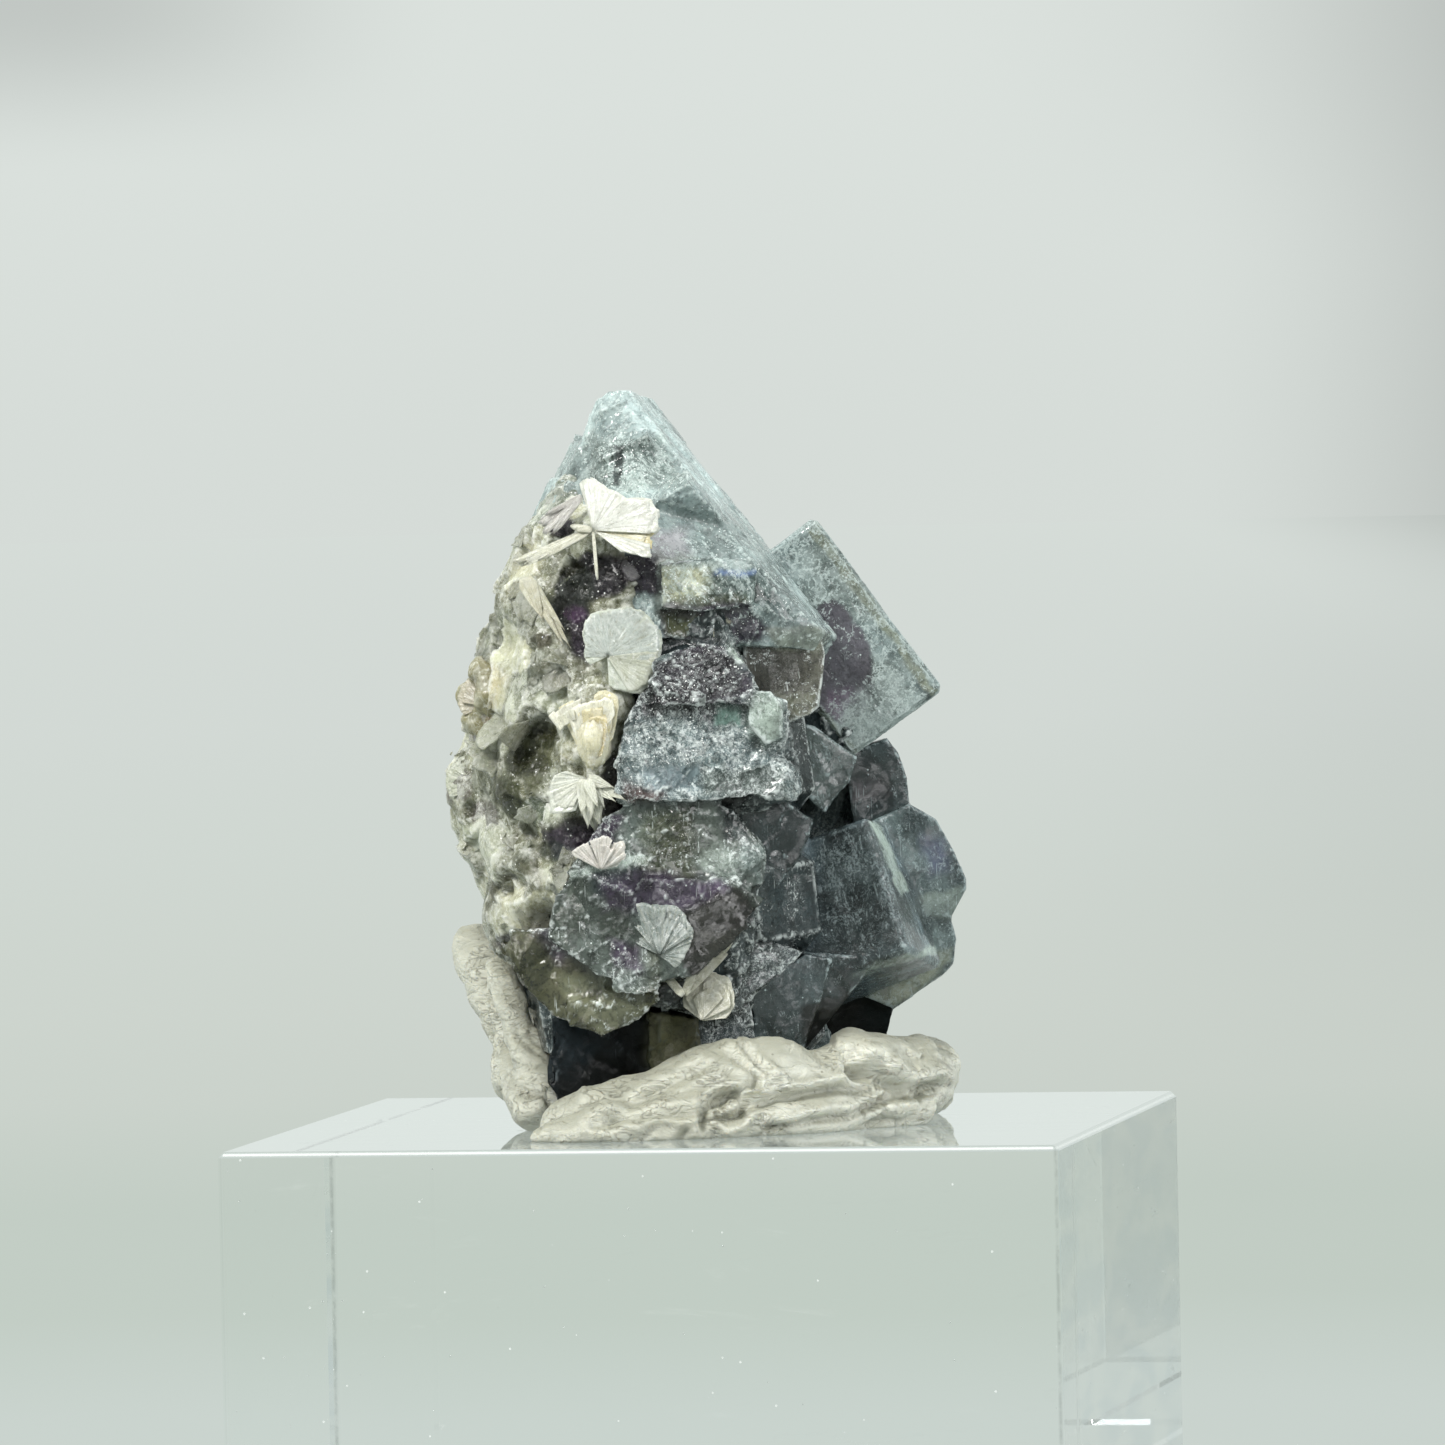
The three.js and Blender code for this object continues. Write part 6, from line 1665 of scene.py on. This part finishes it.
PUTTY_ROLLS = [
    # the main roll along the front and the right
    [(-8.6, -13.6, 0.9, 1.4), (-6.2, -14.6, 1.3, 1.9), (-3.2, -14.0, 1.8, 2.3), (-0.2, -13.2, 2.3, 2.9),
     (3.4, -12.0, 2.7, 3.0), (6.2, -10.8, 2.2, 2.5), (9.0, -8.6, 2.8, 2.5), (12.4, -3.4, 2.7, 2.4),
     (13.0, 2.2, 2.2, 2.2), (8.6, 7.6, 2.2, 2.3), (2.0, 9.2, 2.1, 2.4), (-6.0, 8.4, 2.6, 2.6)],
    # the sheet that climbs the left side, with its free end
    [(-6.0, 8.4, 2.6, 2.6), (-11.0, 4.2, 3.2, 2.2), (-10.8, -1.6, 3.0, 1.8), (-10.4, -6.4, 1.5, 1.4)],
    [(-10.9, 2.0, 4.0, 1.8), (-12.6, 4.4, 7.8, 1.6), (-13.8, 6.4, 10.3, 1.6)],
    [(-9.7, -6.0, 2.4, 1.3), (-11.2, -4.4, 5.8, 1.2), (-12.3, -2.2, 9.8, 1.0)],
    # the smear that runs forwards under the front roll
    [(-9.9, -16.4, 0.2, 0.7), (-6.6, -17.0, 0.5, 1.3), (-1.4, -16.0, 0.8, 1.7), (4.4, -13.8, 0.9, 1.7),
     (11.8, -7.6, 1.0, 1.5)],
    # folds on top of the roll
    [(0.2, -14.4, 3.3, 1.4), (4.6, -12.8, 2.6, 1.7)],
    [(9.0, -8.4, 4.0, 1.5), (13.6, -1.4, 3.2, 1.4)],
    # the bed under the crystals
    [(-8.0, -6.0, 0.8, 1.6), (7.6, -3.0, 0.8, 2.0), (6.0, 4.0, 0.8, 2.0), (-6.0, 5.0, 0.8, 2.0)],
]

# Folds pressed into the putty: (x, z) points, where they lie front to back, width and depth

PUTTY_FOLDS = [
    (((-0.3, 0.8), (-0.2, 1.9), (0.5, 2.4), (1.4, 2.5), (2.1, 2.0), (1.9, 1.3), (1.1, 1.1), (0.5, 1.5)), -15.5, 0.28, 0.7),
    (((2.1, 1.8), (4.0, 2.2), (5.8, 2.4), (7.8, 2.6), (9.7, 2.3)), -13.0, 0.26, 0.6),
    (((1.2, 4.7), (2.0, 4.2), (2.9, 3.3), (2.6, 2.8)), -14.0, 0.18, 0.4),
    (((2.1, 5.0), (2.7, 4.3), (3.6, 3.6)), -13.5, 0.16, 0.35),
    (((8.5, 3.4), (9.4, 3.0), (10.6, 2.5), (12.2, 2.0), (13.6, 2.2)), -8.0, 0.4, 0.9),
    (((-6.7, 1.0), (-4.6, 1.4), (-2.6, 1.7), (-0.5, 1.5)), -16.0, 0.25, 0.45),
    (((3.6, 0.3), (6.0, 0.8), (8.4, 0.9), (10.2, 1.7), (11.7, 1.8)), -12.5, 0.25, 0.45),
    (((-5.8, 1.2), (-4.0, 2.3), (-2.4, 3.1), (-0.4, 4.0)), -15.0, 0.3, 0.4),
    (((8.3, 4.2), (9.0, 3.5), (9.8, 3.4)), -9.0, 0.45, 0.9),
]


def ball(x, y, z, radius):
    numbers = np.arange(60)
    height = 1 - (2 * numbers + 1) / 60
    ring = np.sqrt(1 - height**2)
    bearing = 2.39996 * numbers
    return np.stack([np.cos(bearing) * ring, np.sin(bearing) * ring, height], axis=1) * radius + (x, y, z)


def line_distance(flat, line):
    """The distance to a line of points, and which side of it: above zero is over it."""
    best = np.full(len(flat), np.inf)
    over = np.zeros(len(flat))
    line = np.array(line)
    for start, end in zip(line[:-1], line[1:]):
        along = end - start
        share = np.clip((flat - start) @ along / (along @ along), 0, 1)
        away = flat - start - share[:, None] * along
        distance = np.linalg.norm(away, axis=1)
        nearer = distance < best
        best[nearer] = distance[nearer]
        over[nearer] = (along[0] * away[:, 1] - along[1] * away[:, 0])[nearer]
    return best, np.sign(over)


def make_putty():
    stretches = []
    for roll in PUTTY_ROLLS:
        for first, second in zip(roll[:-1], roll[1:]):
            stretches.append(finish_solid({"points": np.concatenate([ball(*first), ball(*second)])}))
    vertices, triangles = fused(stretches, 0.24)
    vertices = relaxed(vertices, triangles, 4)
    normals = vertex_normals(vertices, triangles)
    kneaded = 0.5 * rough_noise(vertices, 3.6, 61, 2)
    drift = 1.2 * np.stack([noise(vertices, 2.8, 80 + k) for k in range(3)], axis=1)
    pulled = (vertices + drift) * np.array([0.6, 0.8, 1.1])
    strands = 0.13 * rough_noise(pulled, 0.8, 66, 3)
    ridges = 0.2 * (1 - np.abs(rough_noise(pulled, 2.2, 71, 2)) * 2.4)
    torn = smooth_step(rough_noise(vertices, 2.6, 88, 2), -0.1, 0.3)
    creases = -0.4 * torn * smooth_step(1 - np.abs(rough_noise(pulled, 2.6, 76, 2)) * 9, 0.2, 1.0)
    move = kneaded + strands + ridges + creases
    front = normals[:, 1] < 0.35
    for line, depth_at, width, depth in PUTTY_FOLDS:
        near = front & (np.abs(vertices[:, 1] - depth_at) < 4.5)
        distance, over = line_distance(vertices[near][:, [0, 2]], line)
        valley = -depth * np.exp(-((distance / width) ** 2))
        lip = 0.55 * depth * np.exp(-(((distance - 2.0 * width) / (1.3 * width)) ** 2)) * np.where(over > 0, 1.0, 0.25)
        move[near] += valley + lip
    vertices = vertices + normals * move[:, None]
    vertices[:, 2] = np.maximum(vertices[:, 2], 0.0)
    # painted shade: the putty's folds and creases are found here and darkened in its material
    part = {"vertices": vertices, "triangles": triangles, "cavity_shade": smooth_step(-move, -0.1, 0.6)}
    s = Shader("mounting_putty")
    blotch = s.noise(s.place, 0.35, 5, 0.6)
    fine = s.noise(s.place, 3.0, 6, 0.7)
    colour = s.mix(s.ramp(blotch, 0.35, 0.65), (0.53, 0.53, 0.455), (0.64, 0.64, 0.555))
    # painted light: the putty grows lighter towards its right end
    painted_light_right = s.ramp(s.node("ShaderNodeSeparateXYZ", {0: s.place}).outputs[0], 2.0, 9.0, 0.0, 0.6)
    colour = s.mix(painted_light_right, colour, (0.84, 0.84, 0.75))
    # painted shade: surfaces that face up are darker
    up = s.node("ShaderNodeSeparateXYZ", {0: s.node("ShaderNodeNewGeometry").outputs["Normal"]}).outputs[2]
    colour = s.mix(s.ramp(up, 0.1, 0.8, 0.0, 0.8), colour, (0.27, 0.27, 0.21))
    # painted shade in the folds and creases
    colour = s.mix(s.math("MULTIPLY", s.mask("cavity_shade"), 0.5), colour, (0.30, 0.30, 0.23))
    specks = s.ramp(s.cells(s.place, 0.9).outputs["Distance"], 0.09, 0.05)
    colour = s.mix(s.math("MULTIPLY", specks, 0.6), colour, (0.16, 0.15, 0.11))
    strands = s.noise(s.stretch(s.place, (0.6, 0.8, 1.5), (0, 14, 0)), 0.9, 6, 0.62, 1.6)
    threads = s.math("ABSOLUTE", s.math("SUBTRACT", strands, 0.5, clamp=False), clamp=False)
    threads = s.math("MULTIPLY", s.ramp(threads, 0.03, 0.0), s.ramp(blotch, 0.46, 0.56))
    swirl = s.node("ShaderNodeTexNoise", {"Vector": s.place, "Scale": 0.7}).outputs[1]
    pulled = s.vector("ADD", s.stretch(s.place, (0.5, 0.6, 1.3), (0, 14, 0)), swirl)[0]
    cracks = s.ramp(s.cells(pulled, 0.8, "DISTANCE_TO_EDGE").outputs["Distance"], 0.0, 0.07)
    cracks = s.math("MAXIMUM", cracks, s.ramp(s.noise(s.place, 0.55, 3, 0.5), 0.58, 0.5))
    relief = s.bump(cracks, 0.4, 0.2, s.bump(strands, 0.5, 0.7))
    relief = s.bump(threads, 0.7, 0.16, relief)
    relief = s.bump(fine, 0.35, 0.08, relief)
    colour = s.mix(s.math("MULTIPLY", threads, 0.25), colour, (0.34, 0.33, 0.25))
    rough = s.ramp(fine, 0.3, 0.7, 0.42, 0.62)
    material = s.finish(
        Base_Color=colour, Roughness=rough, Normal=relief, Specular_IOR_Level=0.4, Subsurface_Weight=0.25,
        Subsurface_Radius=(1.0, 0.85, 0.6), Subsurface_Scale=0.001,
    )
    add_piece("putty_bed", part, material, "mounting_putty", smooth=True)


# Stage, light and camera

CAMERA_AZIMUTH = math.radians(9.96)
CAMERA_ELEVATION = math.radians(3.62)
CAMERA_DISTANCE = 0.83
CAMERA_ROLL = math.radians(1.16)
CAMERA_PAN = 0.0016
CAMERA_LIFT = -0.0289
PHOTO_SIZE = 1445
FOCAL_PIXELS = 13766
SENSOR = 36.0


def make_camera():
    back = Vector(
        (
            math.sin(CAMERA_AZIMUTH) * math.cos(CAMERA_ELEVATION),
            -math.cos(CAMERA_AZIMUTH) * math.cos(CAMERA_ELEVATION),
            math.sin(CAMERA_ELEVATION),
        )
    )
    right = Vector((math.cos(CAMERA_AZIMUTH), math.sin(CAMERA_AZIMUTH), 0))
    base = Matrix((right, back.cross(right), back))
    pan = Matrix.Rotation(CAMERA_PAN, 3, "Y")
    lift = Matrix.Rotation(CAMERA_LIFT, 3, "X")
    roll = Matrix.Rotation(CAMERA_ROLL, 3, "Z")
    data = bpy.data.cameras.new("camera")
    data.sensor_width = SENSOR
    data.lens = FOCAL_PIXELS / PHOTO_SIZE * SENSOR
    data.clip_start = 0.05
    data.clip_end = 20
    camera = bpy.data.objects.new("camera", data)
    bpy.context.scene.collection.objects.link(camera)
    aim = (roll @ lift @ pan @ base).transposed()
    place = Vector((0, 0, BLOCK_TOP * MM)) + back * CAMERA_DISTANCE
    camera.matrix_world = Matrix.Translation(place) @ aim.to_4x4()
    bpy.context.scene.camera = camera


def make_light(name, place, size, power, colour=(1, 1, 1)):
    data = bpy.data.lights.new(name, "AREA")
    data.size = size
    data.energy = power
    data.color = colour
    lamp = bpy.data.objects.new(name, data)
    lamp.location = place
    lamp.rotation_mode = "QUATERNION"
    lamp.rotation_quaternion = (Vector((0, 0, 0.045)) - Vector(place)).to_track_quat("-Z", "Y")
    bpy.context.scene.collection.objects.link(lamp)


# The floor's own brightness at each distance from the middle, in metres, so that it runs into the backdrop

FLOOR_RADIUS = 3.0
FLOOR_SHADES = [
    (0.00, (0.545, 0.603, 0.570)), (0.10, (0.545, 0.603, 0.570)), (0.19, (0.503, 0.565, 0.515)),
    (0.30, (0.507, 0.568, 0.518)), (0.44, (0.557, 0.603, 0.560)), (0.59, (0.575, 0.620, 0.578)),
    (0.96, (0.598, 0.646, 0.609)), (1.43, (0.620, 0.663, 0.634)), (3.00, (0.645, 0.688, 0.659)),
]
FLOOR_GLOW = 1.0
FLOOR_DIM = (-0.020, 0.085, 0.11)
FAR_DIM = (0.13, 0.25, 0.31)


def make_floor():
    s = Shader("pale_floor")
    away = s.node("ShaderNodeVectorMath", {0: s.place}, operation="LENGTH").outputs["Value"]
    shades = s.node("ShaderNodeValToRGB", {0: s.math("MULTIPLY", away, MM / FLOOR_RADIUS)})
    stops = shades.color_ramp.elements
    for position, colour in FLOOR_SHADES[1:-1]:
        stops.new(position / FLOOR_RADIUS)
    for stop, (position, colour) in zip(stops, FLOOR_SHADES):
        stop.position = position / FLOOR_RADIUS
        stop.color = (*colour, 1)
    # painted shadow: the backdrop's dark right side goes on over the far floor, darker towards the right
    side = (math.cos(CAMERA_AZIMUTH - 0.045), math.sin(CAMERA_AZIMUTH - 0.045), 0)
    sideways = s.math("MULTIPLY", s.vector("DOT_PRODUCT", s.place, side)["Value"], MM, clamp=False)
    metres = s.math("MULTIPLY", away, MM, clamp=False)
    straight = (math.cos(CAMERA_AZIMUTH), math.sin(CAMERA_AZIMUTH), 0)
    far_side = s.math("MULTIPLY", s.vector("DOT_PRODUCT", s.place, straight)["Value"], MM, clamp=False)
    near = s.math("MULTIPLY", s.ramp(metres, 0.2, 0.9, 0.2, 1.0), s.ramp(metres, 1.2, 3.0, 1.0, 0.0))
    dim = s.math("ADD", s.math("MULTIPLY", s.ramp(sideways, FLOOR_DIM[0], FLOOR_DIM[1], 0.0, FLOOR_DIM[2]), near),
                 s.math("MULTIPLY", s.ramp(far_side, FAR_DIM[0], FAR_DIM[1], 0.0, FAR_DIM[2]), s.ramp(metres, 1.2, 3.0)))
    colour = s.mix(dim, shades.outputs[0], (0.0, 0.0, 0.0))
    weak = s.mix(1.0, colour, (0.05, 0.05, 0.05), "MULTIPLY")
    material = s.finish(
        Base_Color=weak, Roughness=1.0, Specular_IOR_Level=0.0, Emission_Color=colour, Emission_Strength=FLOOR_GLOW
    )
    bpy.ops.mesh.primitive_circle_add(vertices=96, radius=FLOOR_RADIUS, fill_type="NGON", location=(0, 0, 0))
    floor = bpy.context.object
    floor.name = "stage_floor"
    floor.data.materials.append(material)


def make_world():
    """A bright tent of light. Its open front, where the camera looks in, is darker in reflections. Behind the
    specimen it darkens towards the right, and a little high on the left."""
    world = bpy.data.worlds.new("studio")
    bpy.context.scene.world = world
    world.use_nodes = True
    tree = world.node_tree
    toward = tree.nodes.new("ShaderNodeTexCoord").outputs["Generated"]

    def part_along(direction):
        made = tree.nodes.new("ShaderNodeVectorMath")
        made.operation = "DOT_PRODUCT"
        tree.links.new(toward, made.inputs[0])
        made.inputs[1].default_value = direction
        return made.outputs["Value"]

    def ramp(value, low, high, to_low, to_high):
        made = tree.nodes.new("ShaderNodeMapRange")
        made.interpolation_type = "SMOOTHSTEP"
        tree.links.new(value, made.inputs[0])
        for socket, setting in zip(made.inputs[1:5], (low, high, to_low, to_high)):
            socket.default_value = setting
        return made.outputs[0]

    def mix(share, a, b, blend="MIX"):
        made = tree.nodes.new("ShaderNodeMix")
        made.data_type = "RGBA"
        made.blend_type = blend
        for number, value in ((0, share), (6, a), (7, b)):
            if isinstance(value, bpy.types.NodeSocket):
                tree.links.new(value, made.inputs[number])
            elif number == 0:
                made.inputs[number].default_value = value
            else:
                made.inputs[number].default_value = (*value, 1)
        return made.outputs[2]

    def multiply(a, b):
        made = tree.nodes.new("ShaderNodeMath")
        made.operation = "MULTIPLY"
        tree.links.new(a, made.inputs[0])
        tree.links.new(b, made.inputs[1])
        return made.outputs[0]

    up = part_along((0, 0, 1))
    right = part_along((math.cos(CAMERA_AZIMUTH), math.sin(CAMERA_AZIMUTH), 0))
    backdrop = mix(ramp(up, -0.022, 0.016, 0, 1), (0.668, 0.711, 0.682), (0.708, 0.753, 0.723))
    backdrop = mix(ramp(right, 0.034, 0.074, 0, 0.36), backdrop, (0.0, 0.0, 0.0))
    high_right = multiply(ramp(up, -0.004, 0.017, 0, 1), ramp(right, 0.018, 0.050, 0, 0.09))
    backdrop = mix(high_right, backdrop, (0.0, 0.0, 0.0))
    high_left = multiply(ramp(up, 0.006, 0.019, 0, 1), ramp(right, -0.016, -0.046, 0, 0.24))
    backdrop = mix(high_left, backdrop, (0.0, 0.0, 0.0))
    front = ramp(part_along((0.17, -0.98, -0.1)), 0.1, 0.85, 1.0, 0.5)
    lit = mix(front, (0, 0, 0), (0.80, 0.86, 0.83))
    seen = tree.nodes.new("ShaderNodeLightPath").outputs["Is Camera Ray"]
    tree.links.new(mix(seen, lit, backdrop), tree.nodes["Background"].inputs[0])


def make_block_material():
    """Clear acrylic: dust, faint smears and scratches, painted dark lines on its upright edges, a painted white
    highlight along its top's front and right edges, and bluish streaks in its right side.
    """
    s = Shader("clear_acrylic")
    (left, near, _), (right, far, top) = (np.array(corner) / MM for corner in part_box("acrylic_block"))
    apart = s.node("ShaderNodeSeparateXYZ", {0: s.place})
    x, y, z = apart.outputs

    def close_to(value, place, reach):
        away = s.math("ABSOLUTE", s.math("SUBTRACT", value, place, clamp=False), clamp=False)
        return s.ramp(away, reach, 0.3 * reach)

    def both(a, b):
        return s.math("MULTIPLY", a, b)

    dots = s.cells(s.place, 0.8)
    specks = both(s.ramp(dots.outputs["Distance"], 0.07, 0.04), s.ramp(dots.outputs["Color"], 0.55, 0.6))
    smear = s.ramp(s.noise(s.stretch(s.place, (0.5, 1, 3)), 0.2, 6, 0.7, 1.0), 0.6, 0.75, 0.0, 0.5)
    scratches = s.ramp(s.noise(s.stretch(s.place, (0.25, 1, 6.0), (0, 25, 0)), 1.2, 2, 0.5, 0.8), 0.73, 0.75, 0.0, 0.6)
    patchy_edges = s.ramp(s.noise(s.place, 0.9, 5, 0.7), 0.35, 0.6, 0.25, 1.0)
    # painted shade: dark lines along the block's upright edges, broken up in patches
    painted_dark_edges = s.math("MAXIMUM", both(close_to(x, left, 0.3), close_to(y, far, 0.5)),
                     both(close_to(x, right, 0.35), close_to(y, near, 0.35)))
    painted_dark_edges = both(s.math("MAXIMUM", painted_dark_edges, both(close_to(x, left, 0.25), close_to(y, near, 0.25))), patchy_edges)
    # painted highlight: an opaque white line along the top's front and right edges
    rim = both(close_to(z, top, 0.3), s.math("MAXIMUM", close_to(y, near, 0.3), close_to(x, right, 0.25)))
    dust = s.math("MAXIMUM", s.math("MAXIMUM", specks, smear), scratches)
    streaks = s.ramp(s.noise(s.stretch(s.place, (1, 0.25, 0.9), (20, 0, 0)), 0.35, 3, 0.5, 0.6), 0.42, 0.62)
    streaks = both(streaks, close_to(x, right, 0.1))
    colour = s.mix(both(streaks, 0.45), (0.985, 0.995, 0.99), (0.50, 0.62, 0.74))
    colour = s.mix(both(painted_dark_edges, 0.8), colour, (0.20, 0.22, 0.22))
    clear = s.math("SUBTRACT", 1.0, s.math("MAXIMUM", both(rim, 0.95), s.math("MAXIMUM", both(specks, 0.4), both(smear, 0.1))))
    material = s.finish(Base_Color=colour, Roughness=s.ramp(dust, 0, 1, 0.0, 0.3), IOR=1.49, Transmission_Weight=clear)
    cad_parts["acrylic_block"].material_slots[0].material = material


bpy.context.scene.view_settings.view_transform = "Standard"
make_camera()
make_floor()
make_world()
make_light("key", (-0.50, -0.62, 0.85), 0.26, 12.5, (1.0, 0.99, 0.96))
make_light("fill", (0.66, -0.52, 0.42), 0.40, 4.4)
make_light("top", (0.10, 0.25, 1.10), 0.50, 3.0)
make_block_material()
crystals = make_fluorite()
make_crust(crystals)
make_rosettes()
make_putty()
